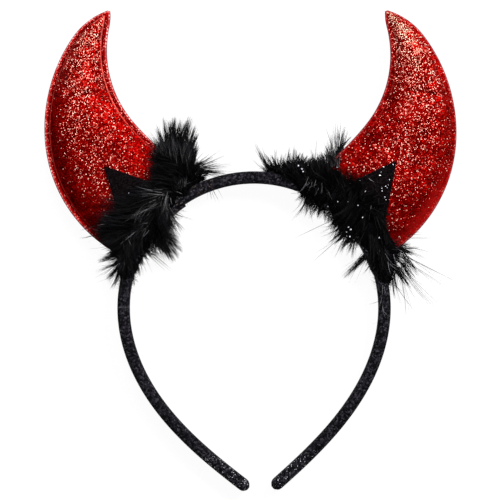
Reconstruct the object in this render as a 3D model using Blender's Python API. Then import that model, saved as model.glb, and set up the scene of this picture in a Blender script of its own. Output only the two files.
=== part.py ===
# Devil horns headband, in metres with +Z up. It lies on its back, as it would on a table.
# Everything is worked out in the band's own frame, in millimetres: the origin is the centre of
# the crown's arc, +X is to the right, +Y runs to the top of the crown and +Z to the front.
# One empty, tilted by the rest angle, carries all the pieces to their resting place.

import math

import bmesh
import bpy
from mathutils import Matrix, Vector
from mathutils.bvhtree import BVHTree

MM = 0.001

# Headband: a wrapped springy band of one section, a half circle with two arms that ease inwards
CROWN_RADIUS = 59.8          # of the band's centreline
BAND_THICK = 5.6             # in the plane of the curve
BAND_DEPTH = 9.0             # front to back
BAND_CORNER = 1.9            # rounding of the section's corners
ARM_LENGTH = 102.3           # from the end of the half circle to the tip
TIP_TURN = math.radians(50.5)   # how far an arm has turned in at its tip
TIP_ROUND = 3.2              # length over which each tip rounds off
TIP_SHARES = (0.62, 0.3, 0.08, 0.0)   # sections of that length, counted back from the tip
TIP_BLUNT = 0.34             # size of the tip's last section
TIP_DEEP = 0.4               # share of the depth that doesn't round off
STATION_STEP = 4.8           # spacing of the band's sections
ARM_STEP = 0.5               # spacing at which the arm's curve is summed
CORNER_POINTS = 3
SHARP_ANGLE = math.radians(40)

# Horns: padded crescents, one outline for both, seated on the outside of the band
SEAT_GAP = 0.3               # clearance between pieces that touch
HORN_SIDES = (               # mirror, tip across, tip up, lean in degrees
    {"side": "left", "mirror": -1, "across": 61.9, "up": 138.8, "lean": 0.0},
    {"side": "right", "mirror": 1, "across": 65.8, "up": 134.3, "lean": 1.4},
)
OUTER_HEADING = 196.4        # degrees, of the outer edge as it leaves the tip of the left horn
INNER_HEADING = 275.9        # degrees, of the inner edge there
OUTER_EDGE = (               # arcs from the tip down; the last one runs on to the band
    {"radius": 32.4, "turn": 37.2},
    {"radius": 74.1, "turn": 39.0},
    {"radius": 65.1, "turn": 70.0},
)
INNER_EDGE = (
    {"radius": 22.5, "turn": -19.1},
    {"radius": 50.6, "turn": 53.2},
    {"radius": 116.7, "turn": 30.0},
)
HORN_RIM = 2.7               # flat sewn rim round the padding
HORN_RIM_HALF = 0.7          # half of the rim's thickness
HORN_PUFF = 5.2              # most that the padding stands above the rim on each side
PUFF_PER_WIDTH = 0.155       # the padding follows the horn's width towards the tip
BASE_PUFF = 3.9              # padding left where the horn meets the band
BASE_START = 0.72            # share of the horn's length from which it thins towards the band
TIP_START = 0.012            # share of the length cut off at the tip, which is a point in plan
RIM_PER_WIDTH = 0.28         # most of the width that each rim takes near the tip
SEAT_EASE = 3                # how late the rows bend to the band's curve
HORN_STATIONS = 26
HORN_COLUMNS = 9

# Glitter tabs: a pointed cloth leaf in front and one behind, folded round the inside of the band
TAB_THICK = 1.2
TAB_GAP = 0.4
TAB_HALF_ANGLE = math.radians(27.3)
TAB_SIDES = (                # tip of the leaf and the turn of its axis from the radius
    {"side": "left", "mirror": -1, "around": 45.5, "out": 94.5, "lean": 2.4},
    {"side": "right", "mirror": 1, "around": 44.0, "out": 93.8, "lean": 6.5},
)
TAB_BLUNT = 0.9              # cut off at each tip
TAB_ROWS = 9
TAB_COLUMNS = 4
FOLD_POINTS = 3

# Fur trims: a sleeve of fur round band and horn base, with locks fused to it
FUR_GAP = 0.4
FUR_SLEEVES = {              # around: degrees up from the band's widest point on that side
    "left": (
        {"around": 78.0, "inner": 63.2, "outer": 65.0, "front": 1.5, "back": 1.5},
        {"around": 72.0, "inner": 62.4, "outer": 72.0, "front": 6.5, "back": 6.0},
        {"around": 65.0, "inner": 61.5, "outer": 76.0, "front": 9.0, "back": 8.0},
        {"around": 57.0, "inner": 60.5, "outer": 77.5, "front": 10.0, "back": 10.0},
        {"around": 50.0, "inner": 55.6, "outer": 78.0, "front": 11.5, "back": 11.0},
        {"around": 43.0, "inner": 52.0, "outer": 77.0, "front": 12.5, "back": 11.0},
        {"around": 36.0, "inner": 52.2, "outer": 75.0, "front": 12.5, "back": 11.0},
        {"around": 29.0, "inner": 53.8, "outer": 71.5, "front": 11.0, "back": 10.0},
        {"around": 22.0, "inner": 54.4, "outer": 66.8, "front": 8.6, "back": 9.0},
        {"around": 15.0, "inner": 55.6, "outer": 65.0, "front": 7.0, "back": 8.0},
        {"around": 9.0, "inner": 57.6, "outer": 62.2, "front": 2.0, "back": 2.0},
    ),
    "right": (
        {"around": 87.0, "inner": 62.8, "outer": 64.6, "front": 1.5, "back": 1.5},
        {"around": 80.0, "inner": 60.5, "outer": 66.0, "front": 6.4, "back": 6.0},
        {"around": 73.0, "inner": 57.6, "outer": 68.0, "front": 8.0, "back": 8.0},
        {"around": 66.0, "inner": 54.6, "outer": 71.0, "front": 9.6, "back": 9.0},
        {"around": 59.0, "inner": 53.4, "outer": 75.5, "front": 10.8, "back": 11.0},
        {"around": 52.0, "inner": 53.6, "outer": 75.0, "front": 11.5, "back": 11.0},
        {"around": 45.0, "inner": 53.6, "outer": 73.0, "front": 11.5, "back": 11.0},
        {"around": 38.0, "inner": 53.2, "outer": 72.0, "front": 11.5, "back": 11.0},
        {"around": 31.0, "inner": 54.2, "outer": 72.0, "front": 11.0, "back": 11.0},
        {"around": 24.0, "inner": 54.8, "outer": 72.5, "front": 10.0, "back": 10.0},
        {"around": 17.0, "inner": 55.4, "outer": 69.5, "front": 8.6, "back": 9.0},
        {"around": 10.0, "inner": 56.0, "outer": 65.4, "front": 7.0, "back": 8.0},
        {"around": 5.0, "inner": 57.6, "outer": 62.2, "front": 2.0, "back": 2.0},
    ),
}
# Locks: root by around, out and high, then heading in the plane (degrees, 0 away from the
# band's middle, 90 to the crown), rise to the front, length, root radius, how many and their fan
FUR_LOCKS = {
    "left": (
        {"around": 64, "out": 70, "high": 2, "heading": 80, "rise": 8, "long": 23, "wide": 4.0,
         "count": 6, "fan": 44},
        {"around": 69, "out": 67, "high": 1, "heading": 172, "rise": 4, "long": 15, "wide": 2.2,
         "count": 3, "fan": 34},
        {"around": 46, "out": 67, "high": 9, "heading": 2, "rise": 6, "long": 24, "wide": 3.6,
         "count": 4, "fan": 40},
        {"around": 35, "out": 64, "high": 8, "heading": -6, "rise": 5, "long": 20, "wide": 3.4,
         "count": 4, "fan": 40},
        {"around": 45, "out": 57, "high": 3, "heading": -108, "rise": 8, "long": 18, "wide": 3.4,
         "count": 4, "fan": 40},
        {"around": 48, "out": 57, "high": 3, "heading": -162, "rise": 12, "long": 11, "wide": 2.4,
         "count": 3, "fan": 36},
        {"around": 34, "out": 57, "high": 3, "heading": -132, "rise": 8, "long": 13, "wide": 2.6,
         "count": 4, "fan": 44},
        {"around": 21, "out": 64, "high": 1, "heading": -42, "rise": 6, "long": 14, "wide": 2.8,
         "count": 4, "fan": 46},
        {"around": 20, "out": 60, "high": 5, "heading": -84, "rise": 2, "long": 15, "wide": 2.6,
         "count": 3, "fan": 16},
        {"around": 40, "out": 66, "high": 9, "heading": 110, "rise": 24, "long": 13, "wide": 3.2,
         "count": 4, "fan": 120},
    ),
    "right": (
        {"around": 81, "out": 64.4, "high": 2, "heading": 132, "rise": 6, "long": 10, "wide": 2.2,
         "count": 3, "fan": 30},
        {"around": 74, "out": 65.5, "high": 2, "heading": 118, "rise": 10, "long": 13, "wide": 2.6,
         "count": 4, "fan": 34},
        {"around": 64, "out": 69, "high": 2, "heading": 98, "rise": 8, "long": 11, "wide": 2.8,
         "count": 4, "fan": 40},
        {"around": 59, "out": 74, "high": -1, "heading": 97, "rise": 4, "long": 17, "wide": 3.2,
         "count": 4, "fan": 36},
        {"around": 58, "out": 63, "high": 6, "heading": -126, "rise": 10, "long": 19, "wide": 3.4,
         "count": 5, "fan": 50},
        {"around": 41, "out": 59, "high": 4, "heading": -130, "rise": 8, "long": 15, "wide": 3.4,
         "count": 5, "fan": 56},
        {"around": 24, "out": 58, "high": 1, "heading": -140, "rise": 4, "long": 13, "wide": 1.8,
         "count": 1, "fan": 0},
        {"around": 20, "out": 67, "high": 1, "heading": -48, "rise": 6, "long": 16, "wide": 3.0,
         "count": 6, "fan": 80},
        {"around": 17, "out": 61, "high": 4, "heading": -88, "rise": 2, "long": 19, "wide": 2.6,
         "count": 3, "fan": 20},
        {"around": 48, "out": 66, "high": 8, "heading": 60, "rise": 26, "long": 12, "wide": 3.2,
         "count": 4, "fan": 120},
    ),
}
LOCK_SHAPE = ((-0.1, 0.7), (0.3, 1.0), (0.68, 0.62), (1.0, 0.12))   # share of length, of root radius
LOCK_FLAT = 0.8              # a lock's thickness as a share of its width
LOCK_BEND = 0.12             # sideways bend as a share of the length
LOCK_SIDES = 5
SLEEVE_SIDES = 12
SLEEVE_SQUARE = 0.8          # 1 is an ellipse, less is squarer
SHELL_LIMIT = 2.0            # most that a sharp corner is pushed out in a clearance
FLOOR_SIZE = (0.6, 0.6, 0.1)    # block that stands for the resting surface, in metres

# Rest: the band's tips and the fur touch the surface
REST_TILT = math.radians(1.5)


def add_material(name, colour, roughness, metallic=0.0):
    material = bpy.data.materials.new(name)
    material.use_nodes = True
    shader = material.node_tree.nodes["Principled BSDF"]
    shader.inputs["Base Color"].default_value = (*colour, 1.0)
    shader.inputs["Roughness"].default_value = roughness
    shader.inputs["Metallic"].default_value = metallic
    material.diffuse_color = (*colour, 1.0)
    return material


def make_mesh(name, points, faces):
    mesh = bpy.data.meshes.new(name)
    mesh.from_pydata([tuple(c * MM for c in p) for p in points], [], faces)
    work = bmesh.new()
    work.from_mesh(mesh)
    bmesh.ops.recalc_face_normals(work, faces=work.faces[:])
    if work.calc_volume(signed=True) < 0:
        bmesh.ops.reverse_faces(work, faces=work.faces[:])
    work.to_mesh(mesh)
    work.free()
    return mesh


def add_object(name, mesh, material, parent):
    item = bpy.data.objects.new(name, mesh)
    bpy.context.scene.collection.objects.link(item)
    mesh.materials.clear()
    mesh.materials.append(material)
    mesh.shade_smooth()
    mesh.set_sharp_from_angle(angle=SHARP_ANGLE)
    item.parent = parent
    return item


def tube_faces(rings, ring_size, strip_ends=False):
    """Quads between rings of points. A flat piece's curved ends are closed with strips."""
    faces = []
    for i in range(rings - 1):
        for j in range(ring_size):
            k = (j + 1) % ring_size
            faces.append((i * ring_size + j, i * ring_size + k,
                          (i + 1) * ring_size + k, (i + 1) * ring_size + j))
    for first in (0, (rings - 1) * ring_size):
        if strip_ends:
            last = first + ring_size - 1
            faces += [(first + j, first + j + 1, last - j - 1, last - j)
                      for j in range(ring_size // 2 - 1)]
        else:
            faces.append(tuple(first + j for j in range(ring_size)))
    return faces


# Band

def arm_point(length):
    """Place and heading on the left arm, a length down from the half circle."""
    steps = max(2, int(length / ARM_STEP))
    ease = ARM_LENGTH / CROWN_RADIUS
    x, y, turn = -CROWN_RADIUS, 0.0, 0.0
    for i in range(steps):
        share = (i + 0.5) / steps * length / ARM_LENGTH
        turn = ease * share - (ease - TIP_TURN) * share * share
        x += math.sin(turn) * length / steps
        y -= math.cos(turn) * length / steps
    share = length / ARM_LENGTH
    return x, y, ease * share - (ease - TIP_TURN) * share * share


def band_stations():
    """Point, outward direction and section scale, from the left tip over the crown to the right."""
    arm = []
    steps = round((ARM_LENGTH - TIP_ROUND) / STATION_STEP)
    lengths = [(ARM_LENGTH - TIP_ROUND) * i / steps for i in range(1, steps + 1)]
    lengths += [ARM_LENGTH - TIP_ROUND * share for share in TIP_SHARES]
    for length in lengths:
        x, y, turn = arm_point(length)
        past = max(0.0, (length - (ARM_LENGTH - TIP_ROUND)) / TIP_ROUND)
        scale = max(TIP_BLUNT, math.sqrt(max(0.0, 1.0 - past * past)))
        arm.append((Vector((x, y, 0)), Vector((-math.cos(turn), -math.sin(turn), 0)), scale))
    crown = []
    count = round(math.pi * CROWN_RADIUS / STATION_STEP)
    count += 1 - count % 2
    for i in range(count + 1):
        angle = math.pi * (1 - i / count)
        out = Vector((math.cos(angle), math.sin(angle), 0))
        crown.append((out * CROWN_RADIUS, out, 1.0))
    flip = Vector((-1, 1, 1))
    right = [(p * flip, d * flip, s) for p, d, s in arm]
    return arm[::-1] + crown + right


def band_section():
    """Rounded rectangle as (outward, front) pairs."""
    half, deep = BAND_THICK / 2 - BAND_CORNER, BAND_DEPTH / 2 - BAND_CORNER
    ring = []
    for quarter, (sx, sz) in enumerate(((1, 1), (-1, 1), (-1, -1), (1, -1))):
        for i in range(CORNER_POINTS):
            angle = math.radians(90 * quarter + 90 * i / (CORNER_POINTS - 1))
            ring.append((sx * half + BAND_CORNER * math.cos(angle),
                         sz * deep + BAND_CORNER * math.sin(angle)))
    return ring


def tip_depth(scale):
    """The tips round off less from front to back than across."""
    return TIP_DEEP + (1 - TIP_DEEP) * scale


def band_mesh(name):
    stations, section = band_stations(), band_section()
    points = []
    for place, out, scale in stations:
        for across, front in section:
            points.append(place + out * across * scale + Vector((0, 0, front * tip_depth(scale))))
    return make_mesh(name, points, tube_faces(len(stations), len(section)))


# Horns

def run_edge(tip, heading, arcs, samples=24):
    """Points along tangent arcs from the tip, stopped where they reach the band."""
    stop = CROWN_RADIUS + BAND_THICK / 2 + SEAT_GAP
    place, turn = Vector(tip), math.radians(heading)
    points = [place.copy()]
    for arc in arcs:
        step = math.radians(arc["turn"]) / samples
        chord = 2 * arc["radius"] * math.sin(abs(step) / 2)
        for _ in range(samples):
            ahead = Vector((math.cos(turn + step / 2), math.sin(turn + step / 2))) * chord
            if (place + ahead).length <= stop:
                near, far = place.length - stop, stop - (place + ahead).length
                points.append(place + ahead * near / max(near + far, 1e-9))
                return points
            place = place + ahead
            turn += step
            points.append(place.copy())
    return points


def along(points, share):
    """Point at a share of a polyline's length."""
    lengths = [(b - a).length for a, b in zip(points, points[1:])]
    left = share * sum(lengths)
    for start, end, length in zip(points, points[1:], lengths):
        if left <= length:
            return start.lerp(end, left / length)
        left -= length
    return points[-1].copy()


def horn_edges(side):
    """Outer and inner edge of a horn, worked out on the left and mirrored for the right."""
    tip = (-side["across"], side["up"])
    outer = run_edge(tip, OUTER_HEADING + side["lean"], OUTER_EDGE)
    inner = run_edge(tip, INNER_HEADING + side["lean"], INNER_EDGE)
    return outer, inner


def horn_point(outer, inner, down, across):
    """Point in the horn's plane: down runs from the tip to the band, across from outer to inner."""
    a, b = along(outer, down), along(inner, down)
    flat = a.lerp(b, across)
    corner_a, corner_b = outer[-1], inner[-1]
    angle_a, angle_b = (math.atan2(c.y, c.x) for c in (corner_a, corner_b))
    angle = angle_a + (angle_b - angle_a) * across
    seat = Vector((math.cos(angle), math.sin(angle))) * corner_a.length
    return flat + (seat - corner_a.lerp(corner_b, across)) * down ** SEAT_EASE


def horn_half_height(width, down, share):
    """Half thickness: a thin rim, then padding that domes across the width."""
    full = min(HORN_PUFF, PUFF_PER_WIDTH * width)
    ease = max(0.0, (down - BASE_START) / (1 - BASE_START))
    full += (BASE_PUFF - full) * ease * ease if full > BASE_PUFF else 0.0
    return HORN_RIM_HALF + full * math.sqrt(max(0.0, 1.0 - (2 * share - 1) ** 2))


def horn_mesh(name, side):
    outer, inner = horn_edges(side)
    rows = []
    for i in range(HORN_STATIONS):
        down = TIP_START + (1 - TIP_START) * i / (HORN_STATIONS - 1)
        width = (along(outer, down) - along(inner, down)).length
        rim = min(HORN_RIM, width * RIM_PER_WIDTH)
        row = [(0.0, HORN_RIM_HALF)]
        for j in range(HORN_COLUMNS):
            share = 0.5 - 0.5 * math.cos(math.pi * j / (HORN_COLUMNS - 1))
            across = (rim + (width - 2 * rim) * share) / width
            row.append((across, horn_half_height(width, down, share)))
        row.append((1.0, HORN_RIM_HALF))
        front = [(*horn_point(outer, inner, down, a), h) for a, h in row]
        back = [(x, y, -h) for x, y, h in front[::-1]]
        rows.append([Vector((-side["mirror"] * x, y, z)) for x, y, z in front + back])
    ring = len(rows[0])
    return make_mesh(name, [p for row in rows for p in row], tube_faces(len(rows), ring, True))


# Glitter tabs

def surface_tree(mesh):
    work = bmesh.new()
    work.from_mesh(mesh)
    tree = BVHTree.FromBMesh(work)
    work.free()
    return tree


def edge_hit(tip, heading, radius):
    """Angle at which a straight edge from the tip comes down to a radius round the centre."""
    ahead = Vector((math.cos(heading), math.sin(heading)))
    half = tip.dot(ahead)
    root = math.sqrt(max(0.0, half * half - tip.length_squared + radius * radius))
    place = tip + ahead * (-half - root)
    return math.atan2(place.y, place.x)


def top_height(trees, x, y, side_z):
    """How far the pieces under a point reach towards the front or the back."""
    best = BAND_DEPTH / 2
    for tree in trees:
        hit = tree.ray_cast(Vector((x, y, side_z * 50)) * MM, Vector((0, 0, -side_z)))[0]
        if hit is not None:
            best = max(best, side_z * hit.z / MM)
    return best


def tab_mesh(name, side, trees):
    """A leaf in front and one behind, joined by the fold round the inside of the band."""
    around = math.pi - math.radians(side["around"])
    tip = Vector((math.cos(around), math.sin(around))) * side["out"]
    axis = around + math.pi - math.radians(side["lean"])
    corner = CROWN_RADIUS - BAND_THICK / 2 + BAND_CORNER
    start = side["out"] - TAB_BLUNT
    leaf = [start - (start - corner) * i / TAB_ROWS for i in range(TAB_ROWS + 1)]
    rows = [(radius, 1, None) for radius in leaf]
    fold_deep = BAND_DEPTH / 2 - BAND_CORNER
    for side_z in (1, -1):
        turns = range(1, FOLD_POINTS + 1) if side_z > 0 else range(FOLD_POINTS, 0, -1)
        rows += [(corner, side_z, math.pi / 2 * i / FOLD_POINTS) for i in turns]
    rows += [(radius, -1, None) for radius in leaf[::-1]]
    under, over = [], []
    for radius, side_z, turn in rows:
        first = edge_hit(tip, axis + TAB_HALF_ANGLE, radius)
        last = edge_hit(tip, axis - TAB_HALF_ANGLE, radius)
        for shell, lift in ((under, TAB_GAP), (over, TAB_GAP + TAB_THICK)):
            line = []
            for j in range(TAB_COLUMNS + 1):
                angle = first + (last - first) * j / TAB_COLUMNS
                out, front = radius, 0.0
                if turn is None:
                    x, y = out * math.cos(angle), out * math.sin(angle)
                    front = side_z * (top_height(trees, -side["mirror"] * x, y, side_z) + lift)
                else:
                    out = radius - (BAND_CORNER + lift) * math.sin(turn)
                    front = side_z * (fold_deep + (BAND_CORNER + lift) * math.cos(turn))
                line.append(Vector((-side["mirror"] * out * math.cos(angle),
                                    out * math.sin(angle), front)))
            shell.append(line)
    points = []
    for low, high in zip(under, over):
        points += low + high[::-1]
    return make_mesh(name, points, tube_faces(len(rows), 2 * (TAB_COLUMNS + 1), True))


# Fur

def combine(first, second, operation):
    """Applies an exact Boolean with another mesh and returns the new mesh."""
    item = bpy.data.objects.new("work", first)
    tool = bpy.data.objects.new("tool", second)
    bpy.context.scene.collection.objects.link(item)
    bpy.context.scene.collection.objects.link(tool)
    cut = item.modifiers.new("cut", "BOOLEAN")
    cut.operation = operation
    cut.object = tool
    cut.solver = "EXACT"
    graph = bpy.context.evaluated_depsgraph_get()
    graph.update()
    mesh = bpy.data.meshes.new_from_object(item.evaluated_get(graph))
    for used in (item, tool):
        bpy.data.objects.remove(used)
    return mesh


def grown(mesh, distance):
    """A copy whose faces stand a distance further out, used to cut a clearance."""
    work = bmesh.new()
    work.from_mesh(mesh)
    work.normal_update()
    moves = [(v, v.normal * distance * MM * min(v.calc_shell_factor(), SHELL_LIMIT)) for v in work.verts]
    for vert, move in moves:
        vert.co += move
    copy = bpy.data.meshes.new("cutter")
    work.to_mesh(copy)
    work.free()
    return copy


def sleeve_mesh(side, rows):
    """Superellipse sections round the band, from the crown end to the arm end."""
    points = []
    for row in rows:
        angle = math.radians(row["around"])
        middle, half = (row["inner"] + row["outer"]) / 2, (row["outer"] - row["inner"]) / 2
        for j in range(SLEEVE_SIDES):
            turn = 2 * math.pi * (j + 0.5) / SLEEVE_SIDES
            c, s = math.cos(turn), math.sin(turn)
            out = middle + half * math.copysign(abs(c) ** SLEEVE_SQUARE, c)
            deep = row["front"] if s > 0 else row["back"]
            front = deep * math.copysign(abs(s) ** SLEEVE_SQUARE, s)
            points.append((side * out * math.cos(angle), out * math.sin(angle), front))
    return make_mesh("sleeve", points, tube_faces(len(rows), SLEEVE_SIDES))


def lock_mesh(side, row, index):
    """One lock of a fan: a bent cone of few sides, thickest near its root."""
    spread = (index / (row["count"] - 1) - 0.5) if row["count"] > 1 else 0.0
    heading = math.radians(row["heading"] + spread * row["fan"])
    rise = math.radians(row["rise"] + 10 * math.cos(2.3 * index))
    length = row["long"] * (1.0 - 0.24 * (index % 2) - 0.1 * abs(spread))
    around = math.radians(row["around"] + 3.0 * math.sin(1.9 * index + row["around"]))
    root = Vector((row["out"] * math.cos(around), row["out"] * math.sin(around), row["high"]))
    ahead = Vector((math.cos(heading) * math.cos(rise), math.sin(heading) * math.cos(rise),
                    math.sin(rise)))
    across = ahead.cross(Vector((0, 0, 1))).normalized()
    over = across.cross(ahead)
    points = []
    for share, wide in LOCK_SHAPE:
        bend = across * (LOCK_BEND * length * share * share * math.cos(3.1 * index + row["around"]))
        for j in range(LOCK_SIDES):
            turn = 2 * math.pi * j / LOCK_SIDES + index
            ring = (across * math.cos(turn) + over * LOCK_FLAT * math.sin(turn)) * row["wide"] * wide
            points.append(root + ahead * length * share + bend + ring)
    faces = tube_faces(len(LOCK_SHAPE), LOCK_SIDES)
    return make_mesh("lock", [(side * p.x, p.y, p.z) for p in points], faces)


def floor_block():
    """Everything under the resting surface, as a box in the band's frame."""
    block = bpy.data.meshes.new("floor")
    work = bmesh.new()
    bmesh.ops.create_cube(work, size=1.0)
    place = Matrix.Translation((0, 0, -FLOOR_SIZE[2] / 2)) @ Matrix.Diagonal((*FLOOR_SIZE, 1.0))
    bmesh.ops.transform(work, matrix=rest_matrix().inverted() @ place, verts=work.verts[:])
    work.to_mesh(block)
    work.free()
    return block


def keep_main_body(mesh):
    """Drops the lock tips that the cuts set free."""
    work = bmesh.new()
    work.from_mesh(mesh)
    bmesh.ops.triangulate(work, faces=work.faces[:])
    work.faces.ensure_lookup_table()
    left, bodies = set(work.faces), []
    while left:
        stack, body = [left.pop()], []
        while stack:
            face = stack.pop()
            body.append(face)
            for edge in face.edges:
                for other in edge.link_faces:
                    if other in left:
                        left.remove(other)
                        stack.append(other)
        bodies.append(body)
    bodies.sort(key=len)
    spare = {face for body in bodies[:-1] for face in body}
    bmesh.ops.delete(work, geom=list(spare), context="FACES")
    loose = [v for v in work.verts if not v.link_faces]
    bmesh.ops.delete(work, geom=loose, context="VERTS")
    bmesh.ops.recalc_face_normals(work, faces=work.faces[:])
    work.to_mesh(mesh)
    work.free()
    return mesh


def fur_mesh(name, side_name, side, neighbours):
    fur = sleeve_mesh(side, FUR_SLEEVES[side_name])
    for row in FUR_LOCKS[side_name]:
        for index in range(row["count"]):
            fur = combine(fur, lock_mesh(side, row, index), "UNION")
    for neighbour in neighbours:
        fur = combine(fur, grown(neighbour, FUR_GAP), "DIFFERENCE")
    fur = combine(fur, floor_block(), "DIFFERENCE")
    fur = keep_main_body(fur)
    fur.name = name
    return fur


# Resting place

def rest_matrix():
    """Tilts the band's frame so that its tips and the flat of the fur lie on the surface."""
    tilt = Matrix.Rotation(REST_TILT, 4, "X")
    lowest = 0.0
    for place, out, scale in band_stations():
        for across, front in band_section():
            point = place + out * across * scale + Vector((0, 0, front * tip_depth(scale)))
            lowest = min(lowest, (tilt @ point).z)
    return Matrix.Translation((0, 0, -lowest * MM)) @ tilt


def centred(place, pieces):
    """The resting place, slid so that the middle of the whole box is at the origin."""
    points = [place @ v.co for piece in pieces for v in piece.data.vertices]
    middle = [(min(p[i] for p in points) + max(p[i] for p in points)) / 2 for i in range(2)]
    return Matrix.Translation((-middle[0], -middle[1], 0)) @ place


def main():
    for item in list(bpy.data.objects):
        bpy.data.objects.remove(item)

    wrap = add_material("band_wrap", (0.012, 0.012, 0.014), 0.85)
    red = add_material("red_glitter", (0.42, 0.006, 0.008), 0.4)
    black = add_material("black_glitter", (0.006, 0.006, 0.008), 0.55)
    feather = add_material("black_fur", (0.008, 0.008, 0.010), 0.9)

    rest = bpy.data.objects.new("rest", None)
    bpy.context.scene.collection.objects.link(rest)

    band = band_mesh("headband")
    pieces = [add_object("headband", band, wrap, rest)]
    for horn_side, tab_side in zip(HORN_SIDES, TAB_SIDES):
        side_name, side = horn_side["side"], horn_side["mirror"]
        horn = horn_mesh("horn_" + side_name, horn_side)
        trees = [surface_tree(mesh) for mesh in (band, horn)]
        tab = tab_mesh("glitter_tab_" + side_name, tab_side, trees)
        fur = fur_mesh("fur_trim_" + side_name, side_name, side, (band, horn, tab))
        pieces += [add_object("horn_" + side_name, horn, red, rest),
                   add_object("glitter_tab_" + side_name, tab, black, rest),
                   add_object("fur_trim_" + side_name, fur, feather, rest)]
    rest.matrix_world = centred(rest_matrix(), pieces)


main()
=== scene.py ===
import math

import bmesh
import bpy
import numpy as np
from mathutils import Matrix, Vector
from mathutils.bvhtree import BVHTree


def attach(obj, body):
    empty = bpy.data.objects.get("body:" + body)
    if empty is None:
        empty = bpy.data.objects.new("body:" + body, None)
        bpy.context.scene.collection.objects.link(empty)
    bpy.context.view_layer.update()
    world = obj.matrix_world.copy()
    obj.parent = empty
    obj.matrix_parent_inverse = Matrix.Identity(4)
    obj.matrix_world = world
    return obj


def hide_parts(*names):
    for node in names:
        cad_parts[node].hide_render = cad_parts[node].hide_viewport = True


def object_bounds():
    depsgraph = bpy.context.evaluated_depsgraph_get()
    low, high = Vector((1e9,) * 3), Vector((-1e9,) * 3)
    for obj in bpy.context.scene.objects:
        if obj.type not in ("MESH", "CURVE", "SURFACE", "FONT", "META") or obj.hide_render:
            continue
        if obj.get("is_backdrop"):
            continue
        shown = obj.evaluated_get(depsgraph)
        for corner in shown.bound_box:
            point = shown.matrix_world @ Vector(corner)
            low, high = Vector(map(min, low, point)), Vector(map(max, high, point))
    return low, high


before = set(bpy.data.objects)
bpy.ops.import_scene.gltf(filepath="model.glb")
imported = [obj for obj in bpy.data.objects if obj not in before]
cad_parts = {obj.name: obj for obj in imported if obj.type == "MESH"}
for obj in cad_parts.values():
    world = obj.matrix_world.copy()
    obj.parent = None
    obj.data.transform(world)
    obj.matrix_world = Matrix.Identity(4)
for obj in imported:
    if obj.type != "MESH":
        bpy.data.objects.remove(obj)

mm = 0.001
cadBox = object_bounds()

# The headband lies on its back, tilted a little by the fur under it. Shapes are worked out in the
# band's own frame in millimetres, with the crown's centre at its origin and the front towards +Z.
rest = {"tilt": 1.5, "crownCentre": (-1.268, -27.332, 6.626)}
restPlace = (Matrix.Translation(Vector(rest["crownCentre"]) * mm)
             @ Matrix.Rotation(math.radians(rest["tilt"]), 4, "X"))


def linked(name, data):
    item = bpy.data.objects.new(name, data)
    bpy.context.scene.collection.objects.link(item)
    return item


# Height of the floor below a point, in the band's frame
def floorAt(y):
    tilt = math.radians(rest["tilt"])
    return -(rest["crownCentre"][2] + y * math.sin(tilt)) / math.cos(tilt)


# Camera, floor and light

view = {"turn": 2.06, "centre": (-0.9, 26.6), "across": 229.3, "lens": 220.0, "sensor": 36.0}


def addCamera():
    data = bpy.data.cameras.new("camera")
    data.lens = view["lens"]
    data.sensor_width = view["sensor"]
    camera = linked("camera", data)
    away = view["across"] * view["lens"] / view["sensor"]
    turned = Matrix.Rotation(-math.radians(view["turn"]), 4, "Z")
    local = Matrix.Translation(Vector((*view["centre"], away)) * mm) @ turned
    camera.matrix_world = restPlace @ local
    data.clip_start, data.clip_end = 0.01, 10.0
    bpy.context.scene.camera = camera


studio = {
    "sky": 0.32, "floor": (0.06, 0.06, 0.06), "floorGlow": 0.945,
    "lamps": (
        {"name": "key", "place": (0.62, 0.5, 0.75), "size": 0.35, "power": 17.0},
        {"name": "top", "place": (-0.1, 0.8, 0.7), "size": 0.35, "power": 7.0},
        {"name": "fill", "place": (-0.6, -0.3, 0.8), "size": 0.5, "power": 2.0},
    ),
}


def addStudio():
    world = bpy.data.worlds.new("world")
    world.use_nodes = True
    world.node_tree.nodes["Background"].inputs["Color"].default_value = (1, 1, 1, 1)
    world.node_tree.nodes["Background"].inputs["Strength"].default_value = studio["sky"]
    bpy.context.scene.world = world
    bpy.context.scene.view_settings.view_transform = "Standard"
    bpy.ops.mesh.primitive_plane_add(size=4.0, location=(0, 0, 0))
    floor = bpy.context.object
    floor.name = "floor"
    paper = Nodes("paper", studio["floor"], 0.9)
    paper.set("Specular IOR Level", 0.1)
    paper.set("Emission Color", (1, 1, 1, 1))
    paper.set("Emission Strength", studio["floorGlow"])
    floor.data.materials.append(paper.material)
    floor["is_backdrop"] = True
    for lamp in studio["lamps"]:
        data = bpy.data.lights.new(lamp["name"], "AREA")
        data.shape = "DISK"
        data.size = lamp["size"]
        data.energy = lamp["power"]
        item = linked(lamp["name"], data)
        item.location = lamp["place"]
        item.rotation_euler = (-Vector(lamp["place"])).to_track_quat("-Z", "Y").to_euler()


# Small helpers

def clearSelection():
    if bpy.context.object and bpy.context.object.mode != "OBJECT":
        bpy.ops.object.mode_set(mode="OBJECT")
    bpy.ops.object.select_all(action="DESELECT")


def activate(item):
    clearSelection()
    item.select_set(True)
    bpy.context.view_layer.objects.active = item


def applyModifier(item, kind, **values):
    activate(item)
    modifier = item.modifiers.new(kind.lower(), kind)
    for key, value in values.items():
        setattr(modifier, key, value)
    bpy.ops.object.modifier_apply(modifier=modifier.name)


# Puts a piece modelled in the band's frame at its resting place, and gives it its finish
def finishPiece(item, name, material, slotName, *nodes):
    item.name = name
    item.data.name = name
    item.data.materials.clear()
    item.data.materials.append(material)
    item.data.transform(Matrix.Diagonal((mm, mm, mm, 1)))
    item.data.transform(restPlace)
    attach(item, "root")
    if nodes:
        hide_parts(*nodes)
    print("made", name, len(item.data.polygons), "faces")


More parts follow.
